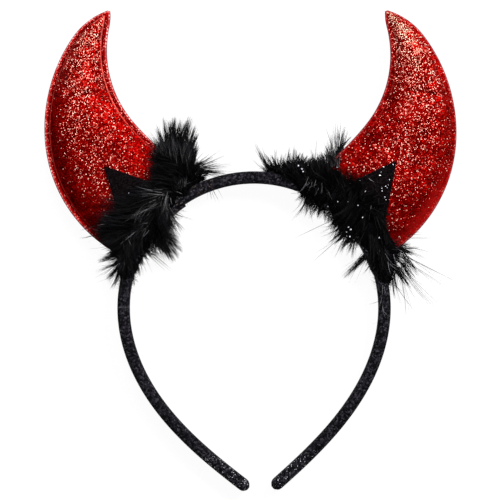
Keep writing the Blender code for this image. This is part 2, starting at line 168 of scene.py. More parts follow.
# A grid whose points are laid over a piece by a rule of column and row, as cloth over a pattern
def mapGrid(columns, rows, rule):
    clearSelection()
    bpy.ops.mesh.primitive_grid_add(x_subdivisions=columns, y_subdivisions=rows, size=2, calc_uvs=False)
    item = bpy.context.object
    places = {}
    for point in item.data.vertices:
        column = round((point.co.x + 1) / 2 * columns)
        row = round((point.co.y + 1) / 2 * rows)
        places[point.index] = rule(column, row)
        point.co = places[point.index]["at"]
    for name in ("edge", "field"):
        if name in places[0]:
            layer = item.data.uv_layers.new(name=name)
            for loop in item.data.loops:
                layer.data[loop.index].uv = places[loop.vertex_index][name]
    return item


# Merges points and fills holes where asked, and turns the faces outwards
def closeUp(item, merge=0.0, fill=False):
    activate(item)
    bpy.ops.object.mode_set(mode="EDIT")
    bpy.ops.mesh.select_all(action="SELECT")
    if merge:
        bpy.ops.mesh.remove_doubles(threshold=merge)
    if fill:
        bpy.ops.mesh.fill_holes(sides=0)
    bpy.ops.mesh.normals_make_consistent(inside=False)
    bpy.ops.object.mode_set(mode="OBJECT")
    bpy.ops.object.shade_smooth()


def surfaceTree(item):
    work = bmesh.new()
    work.from_mesh(item.data)
    tree = BVHTree.FromBMesh(work)
    work.free()
    return tree


# A short way to lay out a material's nodes
class Nodes:
    def __init__(self, name, baseColor, roughness):
        self.material = bpy.data.materials.new(name)
        self.material.use_nodes = True
        self.tree = self.material.node_tree
        self.shader = self.tree.nodes["Principled BSDF"]
        self.shader.inputs["Base Color"].default_value = (*baseColor, 1)
        self.shader.inputs["Roughness"].default_value = roughness

    def plug(self, socket, value):
        if isinstance(value, bpy.types.NodeSocket):
            self.tree.links.new(value, socket)
        else:
            socket.default_value = value

    def add(self, kind, inputs=None, **settings):
        node = self.tree.nodes.new("ShaderNode" + kind)
        for key, value in settings.items():
            setattr(node, key, value)
        for key, value in (inputs or {}).items():
            self.plug(node.inputs[key], value)
        return node

    def math(self, operation, first, second=0.0):
        return self.add("Math", {0: first, 1: second}, operation=operation).outputs[0]

    def times(self, first, *others):
        for other in others:
            first = self.math("MULTIPLY", first, other)
        return first

    def over(self, value, limit):
        return self.math("GREATER_THAN", value, limit)

    def under(self, value, limit):
        return self.math("LESS_THAN", value, limit)

    def vector(self, operation, first, second=(0, 0, 0)):
        node = self.add("VectorMath", {0: first, 1: second}, operation=operation)
        return node.outputs[1 if operation == "DISTANCE" else 0]

    def span(self, value, low, high, toLow=0.0, toHigh=1.0):
        inputs = {"Value": value, "From Min": low, "From Max": high, "To Min": toLow, "To Max": toHigh}
        return self.add("MapRange", inputs).outputs[0]

    def ramp(self, value, *stops):
        node = self.add("ValToRGB", {"Fac": value})
        elements = node.color_ramp.elements
        while len(elements) < len(stops):
            elements.new(0.5)
        for element, (place, color) in zip(elements, stops):
            element.position = place
            element.color = (*color, 1)
        return node.outputs["Color"]

    def mix(self, share, first, second, blend="MIX"):
        node = self.add("Mix", data_type="RGBA", blend_type=blend)
        for key, value in ((0, share), (6, first), (7, second)):
            self.plug(node.inputs[key], value)
        return node.outputs[2]

    # A colour darkened to a share of itself
    def dim(self, color, share):
        return self.mix(1.0, color, self.ramp(share, (0.0, (0, 0, 0)), (1.0, (1, 1, 1))), "MULTIPLY")

    # Object coordinates in millimetres
    def place(self):
        return self.vector("MULTIPLY", self.add("TexCoord").outputs["Object"], (1000, 1000, 1000))

    def uv(self, name):
        split = self.add("SeparateXYZ", {0: self.add("UVMap", uv_map=name).outputs[0]})
        return split.outputs[0], split.outputs[1]

    def cells(self, vector, size, randomness=1.0):
        node = self.add("TexVoronoi", {"Vector": vector, "Scale": 1 / size, "Randomness": randomness})
        split = self.add("SeparateColor", {0: node.outputs["Color"]})
        return node.outputs["Distance"], split.outputs[0], split.outputs[1], node.outputs["Color"]

    def noise(self, vector, size, detail=2.0):
        return self.add("TexNoise", {"Vector": vector, "Scale": 1 / size, "Detail": detail}).outputs["Fac"]

    # The surface's normal, tilted at random in each flake
    def flakeNormal(self, color, tilt):
        lean = self.vector("MULTIPLY", self.vector("SUBTRACT", color, (0.5, 0.5, 0.5)), (tilt,) * 3)
        return self.vector("NORMALIZE", self.vector("ADD", self.add("NewGeometry").outputs["Normal"], lean))

    def bump(self, height, distance, strength=1.0, normal=None):
        inputs = {"Height": height, "Distance": distance * mm, "Strength": strength}
        if normal is not None:
            inputs["Normal"] = normal
        return self.add("Bump", inputs).outputs[0]

    def set(self, key, value):
        self.plug(self.shader.inputs[key], value)


# Band: a half circle with two arms that ease inwards, wrapped in ribbed cloth

band = {
    "radius": 59.8, "thick": 5.6, "deep": 9.0, "corner": 2.0, "cornerSteps": 4,
    "armLength": 102.3, "tipTurn": 50.5, "crownSteps": 64, "armSteps": 72, "fine": 1000, "tipRound": 3.0,
    "weave": 0.8, "thread": 0.6, "fleck": 0.7,
    "golden": (-24.0, 31.0, 12.0), "paleFrom": -92.0, "paleFull": -98.0, "wrapEnd": -24.9,
}


# How far the arm has turned inwards at a length
def armTurn(length):
    share = length / band["armLength"]
    ease = band["armLength"] / band["radius"]
    return ease * share - (ease - math.radians(band["tipTurn"])) * share * share


# Places and turns down the right arm, from the half circle's end to the tip
def armPlaces():
    fine = band["fine"]
    step = band["armLength"] / fine
    x, y, places = band["radius"], 0.0, [(band["radius"], 0.0, 0.0)]
    for i in range(fine):
        turn = armTurn((i + 0.5) * step)
        x -= math.sin(turn) * step
        y -= math.cos(turn) * step
        places.append((x, y, armTurn((i + 1) * step)))
    return places


def makeBand(material):
    clearSelection()
    bpy.ops.mesh.primitive_plane_add(size=1, location=(0, band["radius"], 0), rotation=(0, -math.pi / 2, 0))
    item = bpy.context.object
    item.scale = (band["deep"], band["thick"], 1)
    bpy.ops.object.transform_apply(location=True, rotation=True, scale=True)
    bpy.ops.object.mode_set(mode="EDIT")
    bpy.ops.mesh.select_all(action="SELECT")
    bpy.ops.mesh.bevel(affect="VERTICES", offset=band["corner"], offset_type="OFFSET",
                       segments=band["cornerSteps"], clamp_overlap=True)
    bpy.ops.mesh.delete(type="ONLY_FACE")
    bpy.ops.mesh.select_all(action="SELECT")
    bpy.ops.mesh.subdivide(number_cuts=1)
    bpy.ops.mesh.spin(steps=band["crownSteps"] // 2, angle=math.pi / 2, center=(0, 0, 0), axis=(0, 0, 1))
    places = armPlaces()
    count, fine = band["armSteps"], band["fine"]
    tipShare = band["tipRound"] / band["armLength"]
    marks = [round(fine * (1 - tipShare) * i / count) for i in range(1, count + 1)]
    marks += [round(fine - fine * tipShare * s) for s in (0.66, 0.36, 0.14, 0.0)]
    previous, scale = places[0], 1.0
    for mark in marks:
        place = places[mark]
        bpy.ops.mesh.extrude_region_move(TRANSFORM_OT_translate={
            "value": (place[0] - previous[0], place[1] - previous[1], 0)})
        bpy.ops.transform.rotate(value=place[2] - previous[2], orient_axis="Z",
                                 center_override=(place[0], place[1], 0))
        past = max(0.0, 1 - (1 - mark / fine) / tipShare)
        wanted = max(0.3, math.sqrt(max(0.0, 1 - past * past)))
        if wanted != scale:
            bpy.ops.transform.resize(value=(wanted / scale,) * 3, center_override=(place[0], place[1], 0))
            scale = wanted
        previous = place
    bpy.ops.mesh.edge_face_add()
    bpy.ops.object.mode_set(mode="OBJECT")
    applyModifier(item, "MIRROR", use_axis=(True, False, False), merge_threshold=0.0001)
    closeUp(item)
    tree = surfaceTree(item)
    finishPiece(item, "wrapped_band", material, "band_wrap", "headband")
    return tree


def bandWrapMaterial():
    kit = Nodes("bandWrap", (0.009, 0.0088, 0.0105), 0.7)
    place = kit.place()
    weave = kit.cells(place, band["weave"], 0.85)
    thread = kit.noise(place, band["thread"], 3.0)
    tone = kit.math("ADD", kit.times(weave[1], 0.5), kit.times(thread, 0.6))
    color = kit.ramp(tone, (0.3, (0.0004, 0.0004, 0.0006)), (0.5, (0.0026, 0.0023, 0.0034)),
                     (0.7, (0.011, 0.010, 0.0135)), (0.92, (0.05, 0.047, 0.057)))
    # Pale flecks near the tips, golden ones beside the left trim, and the wrap's end on the left arm
    flecks = kit.cells(place, band["fleck"])
    core = kit.under(flecks[0], 0.36)
    split = kit.add("SeparateXYZ", {0: place}).outputs
    pale = kit.times(kit.span(split[1], band["paleFrom"], band["paleFull"]), core, kit.over(flecks[1], 0.72))
    golden = kit.span(kit.vector("DISTANCE", place, band["golden"]), 9.0, 5.0)
    golden = kit.times(golden, core, kit.over(flecks[1], 0.8))
    end = kit.math("ABSOLUTE", kit.math("SUBTRACT", split[1], band["wrapEnd"]))
    end = kit.times(kit.span(end, 0.34, 0.14), kit.under(split[0], -50.0))
    color = kit.mix(pale, color, kit.ramp(flecks[2], (0.0, (0.05, 0.05, 0.055)), (1.0, (0.42, 0.42, 0.45))))
    color = kit.mix(golden, color, (0.11, 0.08, 0.06, 1))
    color = kit.mix(kit.times(end, kit.span(thread, 0.35, 0.6)), color, (0.06, 0.058, 0.062, 1))
    kit.set("Base Color", color)
    kit.set("Normal", kit.bump(kit.math("SUBTRACT", 0.7, weave[0]), 0.16, 0.8))
    kit.set("Specular IOR Level", 0.03)
    return kit.material


# Horns: padded crescents of glitter cloth with a rolled, stitched rim, seated on the band

horn = {
    "sides": {
        "left": {"mirror": -1, "across": 61.9, "up": 138.8, "lean": 0.0, "seam": 1.0, "seed": 3,
                 "shadeStrip": 0.8, "sheen": 0.0, "tipGlints": 0.24, "cream": 0.2, "upper": 1.0,
                 "shaded": (-1.0, 0.0)},
        "right": {"mirror": 1, "across": 65.8, "up": 134.3, "lean": 1.4, "seam": 0.18, "seed": 8,
                  "shadeStrip": 0.3, "sheen": 1.0, "tipGlints": 0.34, "cream": 0.7, "upper": 0.66,
                  "shaded": (0.45, 0.75)},
    },
    "outerHeading": 196.4, "innerHeading": 275.0, "blunt": (0.9, -0.3),
    "outerArcs": ((32.4, 37.2), (74.1, 39.0), (65.1, 70.0)),       # radius, turn
    "innerArcs": ((22.5, -19.1), (50.6, 53.2), (116.7, 30.0)),
    "rim": ((0.0, 0.0), (0.3, 0.7), (0.85, 0.98), (1.45, 0.85),    # from the edge, height
            (1.9, 0.42), (2.3, 0.8), (2.9, 1.5), (3.5, 2.0)),
    "rimPerWidth": 0.28, "flatRim": 0.9, "flatRimIn": 1.9, "seatGap": 0.3,
    "columns": 46, "rows": 84, "tipRows": (0.001, 0.004, 0.009), "evenFrom": 0.018,
    "puff": 4.0, "puffPerWidth": 0.13, "roundness": 0.62, "basePuff": 2.6, "baseStart": 0.72,
    "pucker": 0.14, "puckerEvery": 3.4, "puckerDeep": 2.2,
    "frames": 20, "cap": 1.1, "simScale": 0.01,
    "cloth": {"quality": 6, "mass": 0.3, "use_pressure": True, "uniform_pressure_force": 4.0,
              "shrink_min": -0.03, "bending_stiffness": 0.4},
    "heldRim": 0.029, "heldTip": 0.05, "heldBase": 0.93, "flake": 0.5, "fineFlake": 0.4, "flakeTilt": 0.55,
}


# Points along tangent arcs from the tip, stopped where they reach the band
def runEdge(tip, heading, arcs, samples=40):
    stop = band["radius"] + band["thick"] / 2 + horn["seatGap"]
    place, turn = Vector(tip), math.radians(heading)
    points = [place.copy()]
    for radius, arcTurn in arcs:
        step = math.radians(arcTurn) / samples
        chord = 2 * radius * math.sin(abs(step) / 2)
        for _ in range(samples):
            ahead = Vector((math.cos(turn + step / 2), math.sin(turn + step / 2))) * chord
            if (place + ahead).length <= stop:
                near, far = place.length - stop, stop - (place + ahead).length
                points.append(place + ahead * near / max(near + far, 1e-9))
                return np.array(points)
            place = place + ahead
            turn += step
            points.append(place.copy())
    return np.array(points)


# Even places along a line of points, and its length
def spaced(points, shares):
    gone = np.concatenate(([0], np.cumsum(np.linalg.norm(np.diff(points, axis=0), axis=1))))
    return np.stack([np.interp(shares * gone[-1], gone, points[:, i]) for i in range(2)], 1), gone[-1]


def hornPattern(side):
    tip = (-side["across"], side["up"])
    shares = np.concatenate((horn["tipRows"], np.linspace(horn["evenFrom"], 1, horn["rows"] - 3), [1.0]))
    outer, outerLength = spaced(runEdge(tip, horn["outerHeading"] + side["lean"], horn["outerArcs"]), shares)
    innerTip = (tip[0] + horn["blunt"][0], tip[1] + horn["blunt"][1])
    innerLine = runEdge(innerTip, horn["innerHeading"] + side["lean"], horn["innerArcs"])
    inner, innerLength = spaced(innerLine, shares)
    seat = np.linalg.norm(outer[-1])
    angles = [math.atan2(p[1], p[0]) for p in (outer[-1], inner[-1])]
    rng = np.random.default_rng(side["seed"])
    phases = rng.uniform(0, 2 * math.pi, (2, 8))
    rim = np.array(horn["rim"])
    count = len(rim)

    def rule(column, row):
        share = shares[row]
        width = np.linalg.norm(outer[row] - inner[row])
        scale = min(1.0, width * horn["rimPerWidth"] / rim[-1, 0])
        fromInner = column > horn["columns"] / 2
        k = horn["columns"] - column if fromInner else column
        edgeLength = innerLength if fromInner else outerLength
        lowRim = horn["flatRim"] + (horn["flatRimIn"] - horn["flatRim"]) * (rim[:, 0] / rim[-1, 0])
        # The rolled rim near both edges, and the padding between them
        if k < count:
            deep = rim[k, 0] * scale
            high = rim[k, 1] * side["seam"] + lowRim[k] * (1 - side["seam"]) * (k > 0)
            high *= scale
        else:
            span = (k - count + 1) / (horn["columns"] / 2 - count + 1)
            span = 0.5 * span + 0.5 * span * span * (3 - 2 * span) if span < 1 else 1.0
            deep = rim[-1, 0] * scale + (width / 2 - rim[-1, 0] * scale) * span
            dome = (1 - (1 - span) ** 2) ** horn["roundness"]
            puff = min(horn["puff"], horn["puffPerWidth"] * width)
            ease = max(0.0, (share - horn["baseStart"]) / (1 - horn["baseStart"]))
            puff += (horn["basePuff"] - puff) * ease * ease if puff > horn["basePuff"] else 0.0
            top = rim[-1, 1] * side["seam"] + lowRim[-1] * (1 - side["seam"])
            high = top * scale + puff * dome
        # Puckers beside the seam
        along = share * edgeLength
        wave = 0.0
        for i, phase in enumerate(phases[int(fromInner)]):
            wave += math.sin(along * 2 * math.pi / (horn["puckerEvery"] * (0.6 + 0.15 * i)) + phase) / 3
        fade = math.exp(-((deep - rim[-1, 0] - 0.6) / horn["puckerDeep"]) ** 2) * scale
        high += horn["pucker"] * wave * fade
        # The straight pattern, bent to the band at its base
        across = 1 - deep / width if fromInner else deep / width
        flat = outer[row] + (inner[row] - outer[row]) * across
        angle = angles[0] + (angles[1] - angles[0]) * across
        chord = outer[-1] + (inner[-1] - outer[-1]) * across
        flat = flat + (np.array((math.cos(angle), math.sin(angle))) * seat - chord) * share ** 3
        if row == 0 or row == horn["rows"]:
            high = 0.0
        return {"at": (-side["mirror"] * flat[0], flat[1], high), "edge": (along / 100, deep / 100),
                "field": (across, share)}

    return rule


# Lets the padding press the cloth out between its seams, with spare cloth for small puckers
def pressOut(item, held):
    item.data.transform(Matrix.Scale(horn["simScale"], 4))
    before = np.array([point.co[:] for point in item.data.vertices])
    group = item.vertex_groups.new(name="held")
    group.add(held, 1.0, "REPLACE")
    activate(item)
    bpy.ops.object.modifier_add(type="CLOTH")
    cloth = item.modifiers[-1]
    for key, value in horn["cloth"].items():
        setattr(cloth.settings, key, value)
    cloth.settings.vertex_group_mass = "held"
    cloth.settings.effector_weights.gravity = 0.0
    cloth.collision_settings.use_collision = False
    cloth.point_cache.frame_start = 1
    cloth.point_cache.frame_end = horn["frames"]
    for number in range(1, horn["frames"] + 1):
        bpy.context.scene.frame_set(number)
    bpy.ops.object.modifier_apply(modifier=cloth.name)
    bpy.context.scene.frame_set(1)
    after = np.array([point.co[:] for point in item.data.vertices])
    move = after - before
    far = np.linalg.norm(move, axis=1)
    cap = horn["cap"] * horn["simScale"]
    print("padding pressed out", round(float(far.mean() / horn["simScale"]), 2), "mm,",
          round(float(far.max() / horn["simScale"]), 2), "mm at most")
    move *= np.tanh(far / cap)[:, None] * cap / np.maximum(far, 1e-9)[:, None]
    item.data.vertices.foreach_set("co", (before + move).ravel())
    item.data.transform(Matrix.Scale(1 / horn["simScale"], 4))


def makeHorn(sideName, material):
    side = horn["sides"][sideName]
    item = mapGrid(horn["columns"], horn["rows"], hornPattern(side))
    applyModifier(item, "MIRROR", use_axis=(False, False, True), merge_threshold=0.001)
    closeUp(item, 0.02)
    layer = item.data.uv_layers["edge"].data
    field = item.data.uv_layers["field"].data
    held = set()
    for loop in item.data.loops:
        deep, down = layer[loop.index].uv.y, field[loop.index].uv.y
        if deep < horn["heldRim"] or down > horn["heldBase"] or down < horn["heldTip"]:
            held.add(loop.vertex_index)
    pressOut(item, list(held))
    applyModifier(item, "SUBSURF", levels=1, render_levels=1)
    bpy.ops.object.shade_smooth()
    tree = surfaceTree(item)
    finishPiece(item, "padded_horn_" + sideName, material, "red_glitter", "horn_" + sideName)
    return tree


def redGlitterMaterial(sideName):
    side = horn["sides"][sideName]
    seam = side["seam"]
    kit = Nodes("redGlitter_" + sideName, (0.3, 0.004, 0.004), 0.38)
    place = kit.place()
    along, deep = kit.uv("edge")
    deep = kit.times(deep, 100.0)
    along = kit.times(along, 100.0)
    across, down = kit.uv("field")
    wobble = kit.vector("ADD", place, kit.vector("MULTIPLY", kit.add(
        "TexNoise", {"Vector": place, "Scale": 2.2}).outputs["Color"], (0.35, 0.35, 0.35)))
    far, pick, shine, flake = kit.cells(wobble, horn["flake"])
    finePick = kit.cells(place, horn["fineFlake"])[1]
    broad = kit.noise(place, 9.0)
    patch = kit.noise(place, 3.0)
    # Deep red ground, mottled with painted shade by the flakes that face away from the light
    tone = kit.math("ADD", kit.times(finePick, 0.5), kit.times(broad, 0.6))
    tone = kit.math("ADD", tone, kit.times(kit.math("SUBTRACT", patch, 0.5), 0.5))
    # Painted shade: darker towards the base, as if lit from above
    shade = kit.span(down, 0.05, 0.95, 1.0, 0.6)
    # Painted shadow of the fur trim over the horn's base, near black where it meets the fur
    furShadow = kit.times(kit.span(down, 0.8, 0.9), kit.span(across, *side["shaded"]))
    furShadow = kit.span(furShadow, 0.0, 1.0, 1.0, 0.04)
    # Painted shade in a dark strip inside the outer edge, where the padding turns from the key light, and a
    # painted sheen without glitter low on the right horn's outer edge
    shadeStrip = kit.times(kit.span(across, 0.34, 0.12), kit.span(down, 0.24, 0.42), side["shadeStrip"])
    sheen = kit.times(kit.span(across, 0.13, 0.07), kit.span(down, 0.6, 0.74),
                      kit.span(down, 0.97, 0.88), side["sheen"])
    shadeAndSheen = kit.math("MAXIMUM", shadeStrip, sheen)
    shade = kit.times(shade, kit.span(shadeStrip, 0.0, 1.0, 1.0, 0.42))
    ground = kit.ramp(tone, (0.28, (0.05, 0.0, 0.0001)), (0.5, (0.13, 0.0002, 0.0002)),
                      (0.8, (0.38, 0.003, 0.002)))
    ground = kit.mix(kit.times(sheen, 0.8), ground, (0.44, 0.006, 0.005, 1))
    ground = kit.dim(ground, kit.span(down, 0.12, 0.5, side["upper"], 1.0))
    # Painted glints: flakes coloured bright as if catching the light, most of them in the middle of the upper
    # half, where the padding faces the lamps
    field = kit.times(kit.span(across, 0.02, 0.4), kit.span(across, 0.97, 0.66),
                      kit.span(down, 0.9, 0.4, 0.35, 1.0))
    rate = kit.math("ADD", kit.times(field, 0.3), kit.times(broad, 0.2))
    rate = kit.math("ADD", rate, kit.times(field, kit.span(down, 0.34, 0.05, 0.0, side["tipGlints"])))
    rate = kit.times(rate, kit.span(shadeAndSheen, 0.0, 0.8, 1.0, 0.12))
    core = kit.under(far, kit.span(shine, 0.0, 1.0, 0.3, 0.52))
    spark = kit.times(kit.over(pick, kit.math("SUBTRACT", 1.0, rate)), core)
    glint = kit.ramp(shine, (0.0, (0.6, 0.03, 0.02)), (0.35, (0.85, 0.14, 0.1)), (0.7, (1.0, 0.32, 0.25)),
                     (0.97, (1.0, 0.68, 0.56)))
    # Paler, cream-coloured painted glints near the tip, a painted highlight there
    cream = kit.times(kit.span(down, 0.36, 0.12), kit.span(across, 0.1, 0.35),
                      kit.span(across, 0.85, 0.55), side["cream"])
    glint = kit.mix(cream, glint, (1.0, 0.74, 0.52, 1))
    body = kit.dim(kit.mix(spark, ground, glint), shade)
    # The rolled rim is the same cloth with few flakes: few painted glints, painted light along its top and
    # painted shade in its groove
    rimGround = kit.ramp(kit.span(deep, 0.0, 3.6), (0.0, (0.2, 0.01, 0.016)), (0.1, (0.13, 0.01, 0.014)),
                         (0.16, (0.5, 0.045, 0.04)), (0.24, (0.42, 0.02, 0.018)),
                         (0.32, (0.26, 0.002, 0.002)), (0.54, (0.2, 0.001, 0.001)), (0.64, (0.07, 0.0, 0.0)),
                         (0.74, (0.13, 0.0, 0.0)), (0.8, (0.3, 0.006, 0.005)), (0.96, (0.22, 0.002, 0.002)))
    # Painted highlight along the seam's ridge, which fades down the inner edge
    ridgeHighlight = kit.times(kit.span(deep, 2.6, 2.85), kit.span(deep, 3.3, 3.05))
    faded = kit.math("MAXIMUM", kit.span(across, 0.6, 0.4), kit.span(down, 0.62, 0.42))
    ridgeHighlight = kit.times(ridgeHighlight, kit.span(faded, 0.0, 1.0, 0.2, 1.0), kit.span(across, 0.3, 0.6, 0.25, 1.0),
                      kit.span(down, 0.8, 0.5))
    rimGround = kit.mix(ridgeHighlight, rimGround, (0.72, 0.09, 0.07, 1))
    rimGround = kit.mix(1.0, rimGround, kit.ramp(finePick, (0.0, (0.55,) * 3), (0.8, (1.1,) * 3)), "MULTIPLY")
    stitch = kit.math("PINGPONG", along, 0.8)
    stitch = kit.times(kit.span(stitch, 0.3, 0.5), kit.span(deep, 1.0, 0.75), kit.span(deep, 0.3, 0.45),
                       kit.span(patch, 0.42, 0.6))
    rimColor = kit.mix(stitch, rimGround, (0.8, 0.42, 0.4, 1))
    rimSpark = kit.times(kit.over(pick, 0.8), kit.under(far, 0.42), kit.span(deep, 0.3, 0.8),
                         kit.span(deep, 2.8, 2.2))
    rimColor = kit.mix(rimSpark, rimColor, (0.85, 0.2, 0.17, 1))
    onRim = kit.times(kit.span(deep, 3.5, 3.0), seam)
    edgeLine = kit.times(kit.span(deep, 1.1, 0.4), 1 - seam)
    body = kit.mix(edgeLine, body, (0.2, 0.004, 0.007, 1))
    color = kit.mix(onRim, body, rimColor)
    kit.set("Base Color", kit.dim(color, furShadow))
    metal = kit.times(kit.math("SUBTRACT", 1.0, spark), kit.span(deep, 0.8, 2.4, 0.0, 0.5))
    kit.set("Metallic", kit.times(metal, kit.span(shadeStrip, 0.0, 0.6, 1.0, 0.0)))
    kit.set("Specular IOR Level", 0.0)
    normal = kit.flakeNormal(flake, horn["flakeTilt"])
    kit.set("Normal", kit.bump(kit.math("SUBTRACT", 0.6, far), 0.12, 0.6, normal))
    return kit.material


# Glitter tabs: a pointed cloth leaf in front and one behind, folded round the inside of the band

tab = {
    "sides": {
        "left": {"mirror": -1, "around": 45.5, "out": 94.5, "lean": 2.4, "tuck": 4.4, "sparks": 0.012},
        "right": {"mirror": 1, "around": 44.0, "out": 93.8, "lean": 6.5, "tuck": 0.0, "sparks": 0.024},
    },
    "halfAngle": 27.3, "tuckDeep": 7.0, "thick": 0.6, "gap": 0.35, "columns": 20, "rows": 34, "foldSteps": 5,
    "corner": 1.9, "bevel": 0.18, "flat": (0.040, 0.088), "area": 0.00176, "flake": 0.62, "fineFlake": 0.3,
}


# Angle at which a straight edge from the tip comes down to a radius round the band's centre
def edgeAngle(tip, heading, radius):
    ahead = Vector((math.cos(heading), math.sin(heading)))
    half = tip.dot(ahead)
    root = math.sqrt(max(0.0, half * half - tip.length_squared + radius * radius))
    place = tip + ahead * (-half - root)
    return math.atan2(place.y, place.x)


# How far the band and the horn stand out on one face
def topHeight(trees, x, y, sideZ):
    best = band["deep"] / 2
    for tree in trees:
        hit = tree.ray_cast(Vector((x, y, sideZ * 50)), Vector((0, 0, -sideZ)))[0]
        if hit is not None:
            best = max(best, sideZ * hit.z)
    return best


def tabPattern(side, trees):
    around = math.pi - math.radians(side["around"])
    tip = Vector((math.cos(around), math.sin(around))) * side["out"]
    axis = around + math.pi - math.radians(side["lean"])
    corner = band["radius"] - band["thick"] / 2 + tab["corner"]
    start, count = side["out"] - 0.3, tab["rows"]
    leaf = [start - (start - corner) * i / count for i in range(count + 1)]
    turns = [math.pi / 2 * i / tab["foldSteps"] for i in range(1, tab["foldSteps"] + 1)]
    lines = [(radius, 1, None) for radius in leaf] + [(corner, 1, turn) for turn in turns]
    lines += [(corner, -1, turn) for turn in turns[::-1]] + [(radius, -1, None) for radius in leaf[::-1]]
    half, tuck = math.radians(tab["halfAngle"]), math.radians(side["tuck"])

    def rule(column, row):
        radius, sideZ, turn = lines[row]
        first, last = edgeAngle(tip, axis + half, radius), edgeAngle(tip, axis - half, radius)
        first += tuck * max(0.0, 1 - (radius - corner) / tab["tuckDeep"])
        angle = first + (last - first) * column / tab["columns"]
        out = radius
        if turn is None:
            x, y = -side["mirror"] * out * math.cos(angle), out * math.sin(angle)
            front = sideZ * (topHeight(trees, x, y, sideZ) + tab["gap"])
        else:
            out = radius - (tab["corner"] + tab["gap"]) * math.sin(turn)
            front = sideZ * (band["deep"] / 2 - tab["corner"] + (tab["corner"] + tab["gap"]) * math.cos(turn))
        return {"at": (-side["mirror"] * out * math.cos(angle), out * math.sin(angle), front)}

    return rule, len(lines) - 1


def makeTab(sideName, trees, material):
    side = tab["sides"][sideName]
    rule, rows = tabPattern(side, trees)
    item = mapGrid(tab["columns"], rows, rule)
    closeUp(item)
    # The cloth's thickness goes to the outside
    middle = item.data.polygons[len(item.data.polygons) // 4]
    outward = 1 if middle.normal.z * middle.center.z > 0 else -1
    applyModifier(item, "SMOOTH", factor=0.5, iterations=3)
    applyModifier(item, "SOLIDIFY", thickness=tab["thick"], offset=outward, use_even_offset=True)
    closeUp(item, 0.001)
    applyModifier(item, "BEVEL", width=tab["bevel"], segments=1, limit_method="ANGLE",
                  angle_limit=math.radians(50))
    finishPiece(item, "tab_leaf_" + sideName, material, "black_glitter", "glitter_tab_" + sideName)


def blackGlitterMaterial(sideName, sparks):
    kit = Nodes("blackGlitter_" + sideName, (0.004, 0.004, 0.006), 0.5)
    place = kit.place()
    far, pick, shine, color = kit.cells(place, tab["flake"])
    fine = kit.cells(place, tab["fineFlake"])[1]
    ground = kit.ramp(fine, (0.0, (0.0003, 0.0001, 0.0002)), (0.7, (0.0018, 0.0008, 0.0011)),
                      (1.0, (0.009, 0.006, 0.007)))
    # Where it is folded round the band the coarse glitter shows, with a few golden flakes
    middle = (*rest["crownCentre"][:2], 0)
    out = kit.vector("DISTANCE", kit.vector("MULTIPLY", place, (1, 1, 0)), middle)
    coarse = kit.ramp(pick, (0.35, (0.0006, 0.0005, 0.0008)), (0.7, (0.006, 0.0055, 0.007)),
                      (0.9, (0.04, 0.037, 0.045)), (0.98, (0.07, 0.055, 0.045)))
    ground = kit.mix(kit.span(out, 64.0, 61.5), ground, coarse)
    spark = kit.times(kit.over(pick, 1 - sparks), kit.under(far, 0.46))
    glint = kit.ramp(shine, (0.0, (0.12, 0.12, 0.15)), (0.6, (0.5, 0.5, 0.55)), (0.9, (1, 1, 1)))
    kit.set("Base Color", kit.mix(spark, ground, glint))
    kit.set("Normal", kit.bump(kit.math("SUBTRACT", 0.6, far), 0.12, 0.5, kit.flakeNormal(color, 0.4)))
    kit.set("Specular IOR Level", 0.02)
    return kit.material
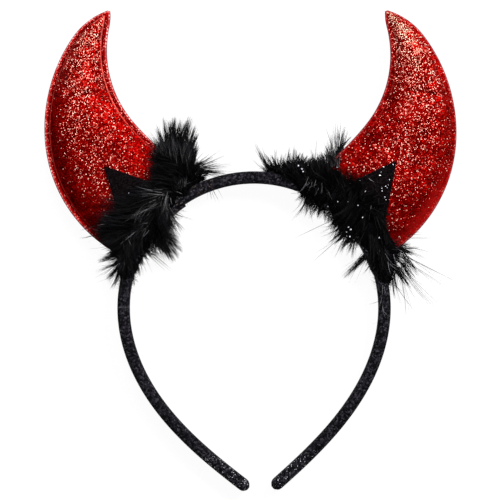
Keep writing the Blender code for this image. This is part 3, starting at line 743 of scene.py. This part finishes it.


# Fur trims: a dark fur backing round the band and the horn's base, with tufts and short fluff on it.
# A row is a line of tufts: its start and end, how far it stands in front of the band, its rise to the
# front, its heading in the plane and its length at both ends (degrees, 0 to the right and 90 to the crown).
# Each is the number of hairs in a lock, wide a root's size, loose the spread of a tuft, light its tone,
# partly the hairs' own colour and partly painted highlight in the pale grey strands.

furColumns = ("from", "to", "high", "rise", "heading", "long", "tufts", "hairs", "each", "wide",
              "loose", "light")
furRows = {
    "left": (
        # Crown tuft, and round the horn's inner corner
        ((-38.7, 68.7), (-25.6, 66.5), -3, -4, (112, 82), (16, 14), 10, 56, 6, 1.5, 8, 0.01),
        ((-38.9, 69.3), (-25.8, 66.8), 2, 5, (110, 82), (16, 14), 12, 70, 6, 1.5, 8, 0.06),
        ((-39.3, 68.1), (-26.5, 65.9), 6, 8, (114, 80), (15, 12), 12, 77, 6, 1.8, 9, 0.09),
        ((-34.0, 67.9), (-37.3, 56.9), 8, 6, (158, 178), (13, 12), 12, 98, 7, 1.8, 9, -0.35),
        ((-37.3, 72.8), (-38.7, 66.4), 5, 5, (132, 150), (9, 9), 7, 70, 7, 1.4, 10, -0.3),
        ((-34.1, 63.9), (-24.5, 62.9), 7, 12, (112, 70), (8, 7), 11, 98, 7, 1.6, 14, -0.18),
        ((-27.8, 62.5), (-21.3, 61.9), 3, 8, (60, 10), (5, 4), 7, 56, 6, 1.2, 14, -0.1),
        # In front of the band
        ((-36.2, 54.6), (-29.1, 56.7), 7, 24, (128, 62), (7, 6), 9, 12, 2, 1.2, 24, 0.28),
        ((-36.1, 56.9), (-29.7, 58.4), 7, 14, (128, 62), (6, 5), 8, 70, 6, 1.4, 22, -0.1),
        # Over the tab and the horn
        ((-36.8, 56.3), (-42.3, 48.1), 8, 6, (172, 188), (19, 21), 12, 84, 7, 1.8, 8, -0.15),
        ((-45.2, 50.5), (-52.5, 41.1), 8, 2, (176, 190), (26, 21), 14, 84, 6, 2.0, 8, -0.15),
        ((-50.2, 41.0), (-57.5, 32.5), 8, 2, (182, 200), (23, 10), 12, 84, 6, 2.0, 10, -0.2),
        ((-58.0, 46.0), (-62.1, 34.4), 6, 1, (174, 192), (14, 8), 12, 84, 6, 2.2, 10, -0.25),
        ((-60.1, 38.5), (-60.6, 27.9), 6, 1, (184, 204), (12, 5), 11, 98, 6, 1.4, 12, -0.25),
        # Down the arm and inside it
        ((-48.2, 31.0), (-53.6, 20.1), 4, 4, (292, 276), (6, 5), 9, 70, 6, 1.2, 10, -0.1),
        ((-45.3, 46.1), (-57.6, 29.6), 8, 5, (236, 262), (16, 15), 13, 84, 6, 2.0, 10, -0.15),
        ((-57.2, 29.6), (-57.0, 23.7), 5, -2, (258, 274), (14, 11), 9, 49, 7, 1.1, 5, -0.1),
        ((-39.5, 53.5), (-40.7, 44.5), 8, 12, (252, 306), (15, 17), 12, 77, 6, 1.4, 10, -0.1),
        ((-41.7, 41.9), (-45.6, 33.2), 3, 5, (306, 300), (14, 11), 11, 63, 6, 1.5, 10, -0.15),
        ((-42.5, 42.5), (-48.1, 32.8), -4, -4, (310, 296), (12, 10), 9, 56, 6, 1.8, 10, -0.15),
        # Grey strands on top, their grey a painted highlight
        ((-38.0, 54.9), (-42.2, 51.3), 9.5, 9, (172, 200), (15, 20), 9, 5, 1, 1.0, 10, 0.42),
        ((-41.7, 50.1), (-50.0, 46.9), 9.5, 8, (196, 242), (16, 17), 10, 5, 1, 1.6, 14, 0.45),
        ((-38.9, 54.1), (-37.7, 47.6), 9, 12, (236, 292), (11, 12), 9, 6, 2, 1.2, 14, 0.45),
        ((-46.7, 39.7), (-58.6, 34.3), 10, 6, (212, 262), (8, 9), 12, 4, 1, 1.8, 22, 0.42),
        ((-57.0, 29.6), (-58.6, 17.3), 6, 2, (246, 282), (6, 7), 9, 3, 1, 1.2, 16, 0.34),
        ((-63.5, 44.4), (-68.5, 37.0), 7, 4, (172, 196), (9, 8), 8, 2, 1, 1.6, 12, 0.36),
    ),
    "right": (
        # Crown fringe, and the step up to the horn
        ((11.9, 62.9), (34.5, 63.1), 1, 5, (130, 102), (6, 8), 15, 56, 5, 1.2, 12, -0.1),
        ((16.3, 59.9), (35.7, 61.1), 5, 7, (130, 100), (7, 8), 13, 77, 7, 1.3, 10, -0.2),
        ((15.1, 61.9), (34.5, 63.7), -4, -5, (128, 102), (6, 7), 11, 42, 6, 1.3, 9, 0),
        ((31.8, 61.9), (40.3, 64.8), 2, 5, (108, 88), (9, 8), 9, 56, 6, 1.4, 10, 0.14),
        ((37.1, 64.9), (43.7, 69.8), -2, 2, (104, 70), (7, 6), 9, 42, 6, 1.2, 10, 0.25),
        # Inner fringe
        ((24.5, 53.2), (36.5, 46.9), 2, 4, (250, 226), (6, 6), 12, 56, 6, 1.3, 10, -0.1),
        ((39.5, 41.7), (47.5, 32.4), 3, 5, (212, 262), (8, 7), 12, 63, 6, 1.4, 10, -0.1),
        ((25.7, 53.1), (46.3, 33.7), -4, -5, (244, 236), (7, 7), 13, 56, 6, 1.6, 10, -0.1),
        # Over the band and the horn, and beside the tab
        ((43.2, 55.7), (52.8, 37.3), 8, 4, (222, 246), (13, 13), 14, 84, 7, 2.0, 10, -0.45),
        ((34.8, 55.4), (46.4, 53.7), 8, 10, (118, 84), (10, 10), 9, 84, 7, 1.8, 12, -0.5),
        ((48.3, 52.9), (57.4, 39.7), 8, 8, (108, -60), (8, 9), 11, 84, 7, 2.0, 16, -0.5),
        ((56.3, 43.6), (60.9, 30.0), 7, 3, (290, 276), (14, 13), 10, 77, 7, 1.4, 7, -0.4),
        ((53.4, 34.1), (59.4, 21.7), 7, 1, (274, 268), (15, 15), 11, 77, 7, 1.5, 6, -0.2),
        # Tuft at the foot
        ((62.8, 26.7), (63.4, 18.3), 2, 5, (14, -76), (8, 9), 12, 70, 6, 1.2, 10, -0.05),
        ((62.1, 25.4), (62.8, 17.7), -4, -6, (0, -84), (8, 8), 10, 56, 6, 1.4, 10, -0.05),
        # Grey strands on top, their grey a painted highlight
        ((26.5, 57.6), (36.7, 53.4), 7, 14, (240, 262), (7, 8), 11, 12, 3, 1.6, 14, 0.18),
        ((40.1, 58.4), (41.3, 56.4), 10, 4, (302, 300), (9, 8), 2, 1, 1, 0.4, 5, 0.5),
        ((58.1, 48.1), (56.9, 43.6), 9, 3, (252, 244), (9, 8), 4, 1, 1, 0.8, 12, 0.42),
        ((53.6, 58.5), (60.4, 50.6), 8.5, 2, (318, 300), (8, 7), 6, 1, 1, 1.0, 14, 0.36),
        ((57.6, 26.9), (63.7, 16.3), 7, 4, (262, 300), (8, 9), 11, 4, 1, 1.4, 16, 0.24),
        ((58.7, 11.4), (57.9, -1.5), 5.5, -1, (262, 282), (9, 10), 7, 2, 1, 0.8, 8, 0.45),
    ),
}

# Single locks at the edges of the trims: from x, y, to x, y, fullness
furLocks = {
    "left": (
        (-38.7, 74.6, -42.1, 83.5, 9), (-38.2, 74.0, -40.5, 81.2, 9), (-36.7, 75.1, -37.5, 86.5, 12),
        (-35.5, 75.9, -36.0, 85.0, 12), (-34.9, 76.2, -33.6, 86.8, 18), (-33.1, 76.4, -31.6, 84.4, 18),
        (-31.9, 76.7, -29.0, 85.4, 12), (-30.2, 76.3, -27.2, 86.8, 14), (-29.0, 75.7, -26.1, 84.1, 12),
        (-27.3, 74.7, -24.4, 82.8, 12), (-26.8, 73.0, -23.7, 79.9, 12), (-26.3, 70.6, -23.6, 76.2, 9),
        (-39.7, 73.4, -43.5, 81.2, 5), (-33.7, 76.1, -35.1, 85.5, 14), (-25.8, 68.2, -22.9, 73.3, 6),
        (-31.4, 76.0, -30.4, 86.0, 8), (-37.3, 75.1, -38.4, 82.7, 8), (-28.2, 75.3, -25.2, 85.2, 5),
        (-24.4, 66.3, -17.5, 69.6, 4), (-24.1, 66.1, -15.9, 67.9, 4), (-23.5, 65.7, -12.3, 68.7, 4),
        (-23.6, 65.1, -11.1, 65.4, 5), (-23.6, 64.6, -5.8, 67.5, 2), (-23.0, 64.5, -7.1, 64.9, 2),
        (-24.8, 63.8, -13.1, 63.7, 9), (-21.3, 63.0, -11.3, 61.9, 7), (-24.4, 66.7, -18.1, 70.9, 2),
        (-23.6, 64.9, -14.7, 66.8, 4), (-25.0, 65.9, -19.9, 68.3, 6), (-20.1, 63.9, -14.2, 64.9, 4),
        (-18.4, 54.8, -18.2, 50.9, 3), (-17.8, 55.1, -16.4, 48.3, 2), (-17.0, 55.2, -15.0, 50.3, 2),
        (-15.1, 55.6, -12.1, 50.2, 1), (-35.1, 46.6, -29.5, 45.4, 4), (-35.7, 45.5, -31.4, 43.2, 4),
        (-36.3, 44.9, -27.4, 41.0, 2), (-34.8, 46.3, -30.5, 47.5, 2), (-36.9, 43.5, -32.5, 42.1, 3),
        (-37.6, 42.3, -34.9, 39.2, 6), (-38.2, 41.5, -35.9, 37.2, 8), (-38.8, 40.6, -36.8, 35.6, 8),
        (-36.6, 45.2, -32.5, 44.4, 3), (-37.8, 36.5, -34.3, 33.4, 8), (-38.1, 34.4, -33.6, 30.9, 9),
        (-38.5, 33.3, -33.0, 27.8, 11), (-39.1, 31.8, -34.2, 25.7, 12), (-40.3, 31.0, -36.6, 23.8, 14),
        (-41.5, 31.0, -38.6, 24.8, 12), (-42.6, 31.4, -40.1, 26.5, 10), (-43.5, 32.3, -41.8, 27.1, 7),
        (-45.2, 32.6, -42.4, 28.3, 6), (-38.7, 34.5, -31.9, 29.8, 2), (-41.2, 30.7, -37.6, 22.7, 4),
        (-49.1, 29.6, -38.5, 20.6, 3), (-49.7, 29.0, -40.1, 18.9, 3), (-50.7, 27.9, -46.3, 19.1, 3),
        (-51.4, 27.0, -50.3, 17.0, 2), (-50.3, 29.0, -43.2, 24.8, 5), (-48.5, 30.1, -41.4, 24.8, 5),
        (-52.2, 25.3, -49.9, 17.5, 2), (-53.3, 22.4, -50.1, 16.9, 1), (-48.2, 31.0, -44.8, 27.4, 6),
        (-50.6, 28.2, -47.9, 24.0, 5), (-55.1, 18.4, -55.2, 12.8, 6), (-55.9, 16.6, -56.2, 13.6, 4),
        (-61.5, 26.2, -69.2, 24.4, 12), (-62.7, 27.4, -67.7, 25.7, 9), (-61.6, 24.7, -66.0, 23.3, 6),
        (-61.8, 23.0, -70.3, 19.7, 7), (-61.9, 22.4, -68.4, 20.8, 5), (-61.7, 20.7, -66.3, 16.3, 11),
        (-61.8, 19.5, -65.9, 15.1, 7), (-61.8, 17.7, -64.7, 11.9, 7), (-61.7, 16.6, -63.5, 12.5, 5),
        (-62.0, 21.8, -71.6, 15.3, 2), (-62.4, 17.5, -72.2, 13.6, 1), (-61.6, 23.9, -64.4, 21.0, 8),
        (-61.7, 20.9, -64.2, 17.5, 8), (-73.6, 39.6, -78.4, 38.2, 2), (-72.0, 35.7, -78.5, 34.5, 2),
        (-70.6, 34.3, -75.0, 33.6, 1), (-67.8, 30.2, -75.7, 29.1, 1), (-63.5, 28.0, -66.4, 27.0, 8),
    ),
    "right": (
        (8.1, 64.4, 3.4, 73.6, 7), (8.8, 64.3, 5.8, 70.6, 7), (9.5, 63.9, 6.3, 68.3, 8),
        (11.2, 64.3, 8.0, 69.2, 8), (12.8, 64.4, 11.2, 68.6, 9), (7.7, 62.6, 5.6, 64.8, 4),
        (12.0, 64.4, 12.4, 71.6, 3), (14.6, 64.3, 14.7, 69.6, 7), (16.0, 64.9, 15.4, 68.9, 7),
        (17.3, 65.3, 18.4, 71.8, 6), (18.5, 65.3, 18.6, 69.5, 9), (19.7, 65.4, 21.0, 72.9, 5),
        (21.2, 65.8, 21.9, 71.3, 8), (21.8, 65.8, 23.5, 69.9, 8), (23.6, 65.7, 25.1, 69.9, 8),
        (24.9, 65.7, 26.4, 68.5, 9), (26.3, 65.4, 27.9, 67.2, 8), (30.8, 66.5, 30.9, 77.1, 1),
        (31.9, 64.8, 31.7, 68.3, 4), (33.4, 64.7, 33.6, 69.6, 4), (34.7, 65.3, 35.0, 68.2, 5),
        (28.9, 64.9, 29.4, 66.8, 6), (30.7, 64.8, 30.4, 66.6, 6), (10.4, 64.0, 9.2, 67.7, 6),
        (13.6, 64.4, 12.9, 67.7, 7), (23.6, 65.4, 22.6, 68.4, 8), (12.9, 62.5, 6.4, 62.6, 7),
        (11.6, 62.0, 6.0, 62.2, 5), (15.1, 62.4, 7.6, 63.2, 6), (10.0, 63.0, 4.9, 63.8, 3),
        (37.3, 67.8, 35.8, 72.4, 7), (37.9, 69.1, 37.5, 76.5, 4), (38.7, 69.7, 38.9, 79.7, 3),
        (39.9, 70.3, 40.9, 81.5, 4), (41.2, 70.9, 41.9, 80.2, 6), (41.3, 71.5, 43.3, 82.2, 4),
        (42.6, 72.1, 44.8, 80.7, 5), (43.3, 72.8, 45.7, 79.4, 5), (43.7, 73.4, 47.2, 76.8, 5),
        (37.5, 67.8, 36.5, 74.6, 4), (40.5, 70.6, 39.9, 78.3, 4), (42.2, 71.8, 43.9, 78.8, 5),
        (23.1, 51.9, 19.2, 51.3, 2), (24.4, 51.2, 22.9, 48.1, 5), (24.7, 50.1, 21.8, 44.8, 3),
        (25.7, 48.6, 22.8, 42.5, 6), (26.3, 47.9, 24.6, 43.4, 8), (27.8, 47.1, 25.3, 42.1, 5),
        (28.8, 46.4, 27.0, 43.3, 6), (27.0, 46.8, 28.6, 38.5, 2), (30.3, 45.7, 28.0, 40.7, 5),
        (32.0, 45.0, 30.5, 41.4, 10), (33.3, 45.0, 31.1, 40.9, 8), (26.2, 48.0, 20.0, 40.1, 3),
        (34.5, 45.1, 33.1, 42.2, 9), (36.3, 43.4, 36.1, 37.9, 3), (39.3, 36.2, 32.7, 34.2, 3),
        (39.9, 35.2, 35.9, 31.5, 6), (39.9, 34.6, 33.3, 31.5, 4), (41.2, 33.1, 36.5, 29.2, 8),
        (42.5, 31.9, 38.4, 28.5, 10), (43.1, 31.2, 38.7, 23.3, 4), (44.4, 30.6, 40.9, 26.1, 10),
        (45.6, 29.9, 42.2, 27.0, 10), (46.2, 29.2, 45.3, 24.6, 10), (47.1, 29.2, 45.9, 22.0, 6),
        (48.2, 29.1, 48.1, 26.4, 7), (41.0, 31.3, 29.8, 22.1, 2), (40.2, 32.4, 30.5, 25.1, 1),
        (37.4, 38.6, 21.4, 31.9, 1), (38.7, 38.5, 34.8, 36.1, 6), (37.5, 41.1, 34.5, 38.6, 7),
        (52.6, 22.5, 43.3, 14.0, 14), (52.6, 21.8, 48.2, 18.7, 6), (54.4, 18.7, 51.0, 14.7, 3),
        (44.3, 31.2, 40.5, 24.3, 5), (39.2, 34.0, 36.7, 27.3, 3), (69.5, 25.5, 81.4, 22.6, 3),
        (69.4, 24.8, 75.7, 24.3, 6), (70.1, 24.5, 78.1, 20.8, 3), (69.7, 23.9, 73.0, 21.7, 9),
        (70.0, 21.9, 89.4, 11.4, 3), (70.3, 21.9, 75.3, 13.9, 7), (70.2, 20.0, 74.1, 15.8, 9),
        (70.8, 18.0, 85.4, 8.5, 2), (69.8, 17.4, 74.6, 12.6, 8), (69.1, 16.2, 72.6, 10.7, 9),
        (67.8, 14.9, 70.6, 8.9, 9), (66.5, 13.7, 68.7, 8.3, 9), (65.1, 12.4, 65.6, 6.5, 8),
        (68.4, 13.0, 75.4, -1.6, 2), (70.6, 12.2, 81.3, -1.8, 3), (68.9, 10.4, 73.4, -7.9, 2),
        (65.0, 7.9, 66.3, -4.5, 2), (63.8, 9.9, 64.2, 3.3, 5), (69.7, 12.9, 79.5, 4.1, 2),
        (69.2, 26.1, 72.1, 26.3, 7), (68.5, 24.9, 74.2, 23.0, 6), (71.6, 29.9, 82.1, 28.6, 2),
        (72.9, 31.1, 79.2, 31.6, 2), (70.9, 28.6, 75.9, 29.7, 1), (55.7, 0.5, 52.4, -0.8, 1),
        (56.0, -8.5, 53.7, -9.2, 1), (63.7, 8.6, 67.1, 5.3, 4), (68.0, 12.3, 72.0, 7.0, 5),
    ),
}

# Sections of the backing: degrees up from the arms, inner and outer radius, front and back
furBacking = {
    "left": {"mirror": -1, "sections": (
        (71, 63.4, 64.2, 0.6, 0.6), (67, 62.4, 68.0, 4.2, 4.2), (62, 60.0, 73.0, 6.8, 6.6),
        (56, 59.0, 75.0, 7.6, 8.0), (50, 56.8, 75.0, 8.2, 9.0), (43, 54.0, 74.5, 8.6, 9.6),
        (37, 53.0, 73.0, 8.6, 9.6), (31, 56.0, 70.0, 8.0, 8.8), (24, 57.0, 66.0, 6.6, 7.4),
        (16, 57.0, 63.5, 5.6, 6.0), (10, 58.6, 61.2, 1.2, 1.2))},
    "right": {"mirror": 1, "sections": (
        (82, 63.0, 63.6, 0.6, 0.6), (78, 62.3, 65.0, 3.6, 3.8), (73, 60.6, 67.2, 5.8, 6.2),
        (66, 57.0, 69.8, 7.4, 7.6), (59, 55.2, 73.0, 8.0, 9.0), (52, 55.8, 74.0, 8.4, 9.6),
        (45, 55.2, 72.4, 8.4, 9.6), (39, 53.8, 71.0, 8.4, 9.6), (31, 56.5, 70.5, 8.2, 9.4),
        (24, 56.8, 71.0, 7.6, 8.6), (17, 56.8, 69.0, 6.6, 7.6), (10, 57.2, 64.6, 5.2, 6.0),
        (5, 58.6, 61.2, 1.2, 1.2))},
}

fur = {
    "marks": (0.0, 0.3, 0.58, 0.82, 1.0), "halfWidth": 0.1, "clump": 0.75, "frizz": 0.04,
    "lockWide": 0.42, "stray": 2.6,
    "sides": 28, "steps": 60, "square": 0.8, "fluff": 5000, "fluffLong": (1.5, 4.0), "fluffWidth": 0.06,
    "lockDeep": 4.0, "lockRoot": 2.0, "lockFan": 1.6, "ragged": 0.5, "clear": 0.1, "backingClear": 0.3,
    "fluffLean": 0.75, "fluffUp": 0.55, "fluffSink": 0.6,
    "seeds": {"left": 21, "right": 34},
}


def lerp(pair, share):
    return pair[0] + (pair[1] - pair[0]) * share


# Roots, directions, lengths and bends of all the hairs of one trim's tufts. A tuft is made of locks,
# and the hairs of a lock draw together at its tip.
def tuftHairs(rows, rng):
    hairs = []
    for values in rows:
        row = dict(zip(furColumns, values))
        for number in range(row["tufts"]):
            share = (number + rng.uniform(0.1, 0.9)) / row["tufts"]
            each = row["each"]
            locks = max(1, round(row["hairs"] * rng.uniform(0.75, 1.25) / each))
            heading = lerp(row["heading"], share) + rng.normal(0, 5)
            rise = row["rise"] + rng.normal(0, 5)
            length = lerp(row["long"], share) * rng.uniform(0.8, 1.06)
            root = np.array([lerp((row["from"][i], row["to"][i]), share) for i in range(2)] + [row["high"]])
            root = root + rng.normal(0, 0.7, 3)
            tuftBend = rng.normal(0, 0.12)
            for _ in range(locks):
                start = root + rng.normal(0, row["wide"] * 0.6, 3)
                lockHeading = heading + rng.normal(0, row["loose"])
                lockRise = rise + rng.normal(0, row["loose"] * 0.7)
                lockLong = length * (1 - fur["ragged"] * rng.random() ** 1.4)
                bend = tuftBend + rng.normal(0, 0.1)
                droop = rng.normal(-0.03, 0.08)
                headings = np.radians(lockHeading + rng.normal(0, fur["stray"], each))
                rises = np.radians(lockRise + rng.normal(0, fur["stray"], each))
                ahead = np.stack([np.cos(headings) * np.cos(rises), np.sin(headings) * np.cos(rises),
                                  np.sin(rises)], 1)
                hairs.append(np.column_stack([
                    np.tile(start, (each, 1)), rng.normal(0, fur["lockWide"], (each, 3)), ahead,
                    lockLong * rng.uniform(0.72, 1.0, each), bend + rng.normal(0, fur["frizz"], each),
                    droop + rng.normal(0, fur["frizz"], each),
                    np.clip(rng.random(each) * 0.9 + row["light"] + rng.normal(0, 0.04), 0, 1)]))
    return np.concatenate(hairs)


# Hairs of the single locks, drawn together at the tips
def lockHairs(locks, rng):
    hairs = []
    for startX, startY, tipX, tipY, full in locks:
        count = round(full + 0.32 * full * full)
        ahead = Vector((tipX - startX, tipY - startY))
        heading, length = math.atan2(ahead.y, ahead.x), ahead.length + fur["lockRoot"]
        root = np.array((startX, startY, rng.uniform(-1, 1) * fur["lockDeep"]))
        root[:2] -= np.array((math.cos(heading), math.sin(heading))) * fur["lockRoot"]
        astray = np.where(rng.random(count) < 0.25, 6.0, 1.0)
        headings = heading + np.radians(rng.normal(0, fur["lockFan"], count) * astray)
        rises = np.radians(rng.normal(0, 4 * fur["lockFan"], count))
        bend = rng.normal(0, 0.05) + rng.normal(0, 0.025, count)
        hairs.append(np.column_stack([
            np.tile(root, (count, 1)), rng.normal(0, 0.2 + 0.05 * full, (count, 3)),
            np.cos(headings) * np.cos(rises), np.sin(headings) * np.cos(rises), np.sin(rises),
            length * (1.22 - 0.45 * rng.random(count) ** 2), bend, rng.normal(0, 0.06, count),
            rng.random(count) * 0.8]))
    return np.concatenate(hairs)


# Short hairs all over the backing, leaning away from its middle
def fluffHairs(points, normals, rng):
    count = fur["fluff"]
    pick = rng.integers(0, len(points), count)
    lean = rng.normal(0, fur["fluffLean"], (count, 3))
    ahead = normals[pick] * fur["fluffUp"] + lean
    ahead /= np.linalg.norm(ahead, axis=1)[:, None]
    longs = rng.uniform(*fur["fluffLong"], count)
    bend, droop = rng.normal(0, 0.2, (2, count))
    root = points[pick] + rng.normal(0, 0.4, (count, 3)) - normals[pick] * fur["fluffSink"]
    return np.column_stack([root, np.zeros((count, 3)), ahead, longs, bend, droop, rng.random(count) * 0.7])


# One tapering ribbon for each hair
def hairMesh(name, hairs, halfWidth, rng):
    marks = np.array(fur["marks"])
    root, offset, ahead = hairs[:, 0:3], hairs[:, 3:6], hairs[:, 6:9]
    longs, bend, droop = hairs[:, 9], hairs[:, 10], hairs[:, 11]
    side = np.cross(ahead, (0, 0, 1))
    side /= np.maximum(np.linalg.norm(side, axis=1), 1e-6)[:, None]
    over = np.cross(side, ahead)
    count = len(hairs)
    line = root[:, None] + offset[:, None] * (1 - fur["clump"] * marks)[None, :, None]
    line = line + ahead[:, None] * (longs[:, None] * marks)[:, :, None]
    line = line + side[:, None] * (longs * bend)[:, None, None] * (marks ** 2)[None, :, None]
    line = line + over[:, None] * (longs * droop)[:, None, None] * (marks ** 2)[None, :, None]
    low = floorAt(line[:, :, 1]) + fur["clear"] + rng.uniform(0, 0.5, (count, 1))
    line[:, :, 2] = np.maximum(line[:, :, 2], low)
    turned = np.cross(ahead, rng.normal(0, 1, (count, 3)))
    turned /= np.maximum(np.linalg.norm(turned, axis=1), 1e-6)[:, None]
    half = halfWidth * rng.uniform(0.6, 1.3, count)[:, None] * (1 - marks[:-1] ** 2.2)[None, :]
    left = line[:, :-1] + turned[:, None] * half[:, :, None]
    right = line[:, :-1] - turned[:, None] * half[:, :, None]
    spans = len(marks) - 1
    points = np.concatenate([np.stack([left, right], 2).reshape(count, 2 * spans, 3), line[:, -1:]], 1)
    size = 2 * spans + 1
    base = (np.arange(count) * size)[:, None]
    corners = [base + np.array([2 * i, 2 * i + 1, 2 * i + 3, 2 * i + 2]) for i in range(spans - 1)]
    loops = np.concatenate(corners + [base + np.array([2 * spans - 2, 2 * spans - 1, 2 * spans])], 1).ravel()
    sizes = np.tile([4] * (spans - 1) + [3], count)
    mesh = bpy.data.meshes.new(name)
    mesh.vertices.add(count * size)
    mesh.vertices.foreach_set("co", points.ravel())
    mesh.loops.add(len(loops))
    mesh.loops.foreach_set("vertex_index", loops)
    mesh.polygons.add(len(sizes))
    mesh.polygons.foreach_set("loop_start", np.concatenate(([0], np.cumsum(sizes)[:-1])))
    mesh.update(calc_edges=True)
    tone = np.repeat(hairs[:, 12], size)
    down = np.tile(np.concatenate([np.repeat(marks[:-1], 2), marks[-1:]]), count)
    layer = mesh.uv_layers.new(name="strand")
    layer.data.foreach_set("uv", np.stack([tone[loops], down[loops]], 1).ravel())
    mesh.validate()
    return linked(name, mesh)


def makeBacking(sideName):
    mirror, sections = furBacking[sideName]["mirror"], np.array(furBacking[sideName]["sections"], float)
    rng = np.random.default_rng(fur["seeds"][sideName])
    phases = rng.uniform(0, 6.28, 6)
    marks = np.linspace(0, len(sections) - 1, fur["steps"] + 1)
    table = np.stack([np.interp(marks, range(len(sections)), sections[:, i]) for i in range(5)], 1)

    def rule(column, row):
        around, inner, outer, front, back = table[row]
        turn = 2 * math.pi * column / fur["sides"]
        c, s = math.cos(turn), math.sin(turn)
        waves = sum(math.sin(around * (0.3 + 0.17 * i) + 3 * turn + phases[i]) for i in range(6))
        lump = 1 + 0.03 * waves
        out = (inner + outer) / 2 + (outer - inner) / 2 * lump * math.copysign(abs(c) ** fur["square"], c)
        deep = (front if s > 0 else back) * lump * math.copysign(abs(s) ** fur["square"], s)
        angle = math.radians(around)
        return {"at": (mirror * out * math.cos(angle), out * math.sin(angle), deep)}

    item = mapGrid(fur["sides"], fur["steps"], rule)
    closeUp(item, 0.01, fill=True)
    for point in item.data.vertices:
        point.co.z = max(point.co.z, floorAt(point.co.y) + fur["backingClear"])
    return item


def makeFur(sideName, hairLook, backingLook):
    rng = np.random.default_rng(fur["seeds"][sideName])
    backing = makeBacking(sideName)
    hairs = np.concatenate([tuftHairs(furRows[sideName], rng), lockHairs(furLocks[sideName], rng)])
    item = hairMesh("tufts", hairs, fur["halfWidth"], rng)
    points = np.array([face.center[:] for face in backing.data.polygons])
    normals = np.array([face.normal[:] for face in backing.data.polygons])
    fluff = hairMesh("fluff", fluffHairs(points, normals, rng), fur["fluffWidth"], rng)
    finishPiece(backing, "fur_backing_" + sideName, backingLook, "black_fur", "fur_trim_" + sideName)
    finishPiece(item, "fur_tufts_" + sideName, hairLook, "black_fur")
    finishPiece(fluff, "fur_fluff_" + sideName, hairLook, "black_fur")


# Loose glitter caught in the right trim: x, y and size, and how far it stands in front
specks = {
    "front": 12.0, "flat": 0.35, "seed": 5, "places": (
        (22.5, 64.2, 0.34), (24.0, 62.6, 0.4), (24.5, 61.4, 0.3), (44.2, 35.4, 0.3), (45.3, 34.3, 0.37),
        (44.7, 31.1, 0.34), (43.2, 33.2, 0.2), (39.8, 47.1, 0.23), (44.4, 46.9, 0.27),
        (48.9, 45.1, 0.27), (50.8, 39.6, 0.3), (58.0, 30.1, 0.27), (60.1, 51.2, 0.23),
        (40.1, 62.7, 0.17),
    ),
}


def makeSpecks(material):
    rng = np.random.default_rng(specks["seed"])
    points, faces = [], []
    for x, y, size in specks["places"]:
        base, lean = len(points), rng.normal(0, 0.2, 2)
        ring = [(math.cos(a), math.sin(a)) for a in np.radians(np.arange(6) * 60 + rng.uniform(0, 60))]
        for u, v in ring:
            points.append((x + size * u, y + size * v, specks["front"] + size * (u * lean[0] + v * lean[1])))
        for way in (1, -1):
            points.append((x, y, specks["front"] + way * specks["flat"] * size))
        for i in range(6):
            j = (i + 1) % 6
            faces.append((base + i, base + j, base + 6))
            faces.append((base + j, base + i, base + 7))
    mesh = bpy.data.meshes.new("specks")
    mesh.from_pydata(points, [], faces)
    finishPiece(linked("specks", mesh), "glitter_specks", material, "black_glitter")


def speckMaterial():
    kit = Nodes("speckFoil", (0.6, 0.6, 0.66), 0.4)
    shine = kit.noise(kit.place(), 1.3)
    kit.set("Base Color", kit.ramp(shine, (0.3, (0.25, 0.25, 0.3)), (0.7, (0.8, 0.8, 0.86))))
    return kit.material


def furMaterial():
    kit = Nodes("furHair", (0.005, 0.005, 0.006), 0.5)
    tone, down = kit.uv("strand")
    # Near-black hairs; the palest tones are painted highlight
    color = kit.ramp(tone, (0.0, (0.0005, 0.0005, 0.0006)), (0.52, (0.0016, 0.0014, 0.0018)),
                     (0.8, (0.013, 0.012, 0.0135)), (1.0, (0.13, 0.126, 0.132)))
    tip = kit.times(kit.span(down, 0.6, 1.0, 0.0, 0.35), kit.span(tone, 0.1, 0.6))
    kit.set("Base Color", kit.mix(tip, color, (0.03, 0.03, 0.04, 1)))
    kit.set("Specular IOR Level", 0.05)
    return kit.material


def backingMaterial():
    kit = Nodes("furBacking", (0.003, 0.003, 0.004), 0.95)
    place = kit.place()
    kit.set("Base Color", kit.ramp(kit.noise(place, 0.7), (0.3, (0.0005, 0.0005, 0.0005)),
                                   (0.8, (0.003, 0.0028, 0.0035))))
    kit.set("Normal", kit.bump(kit.noise(place, 0.5, 4.0), 0.5, 1.0))
    kit.set("Specular IOR Level", 0.0)
    return kit.material


addCamera()
addStudio()
bandTree = makeBand(bandWrapMaterial())
hairLook, backingLook = furMaterial(), backingMaterial()
for sideName in ("left", "right"):
    hornTree = makeHorn(sideName, redGlitterMaterial(sideName))
    makeTab(sideName, [bandTree, hornTree], blackGlitterMaterial(sideName, tab["sides"][sideName]["sparks"]))
    makeFur(sideName, hairLook, backingLook)
makeSpecks(speckMaterial())

boxes = {"cad": cadBox, "visual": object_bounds()}
{key: [[float(c) for c in corner] for corner in box] for key, box in boxes.items()}
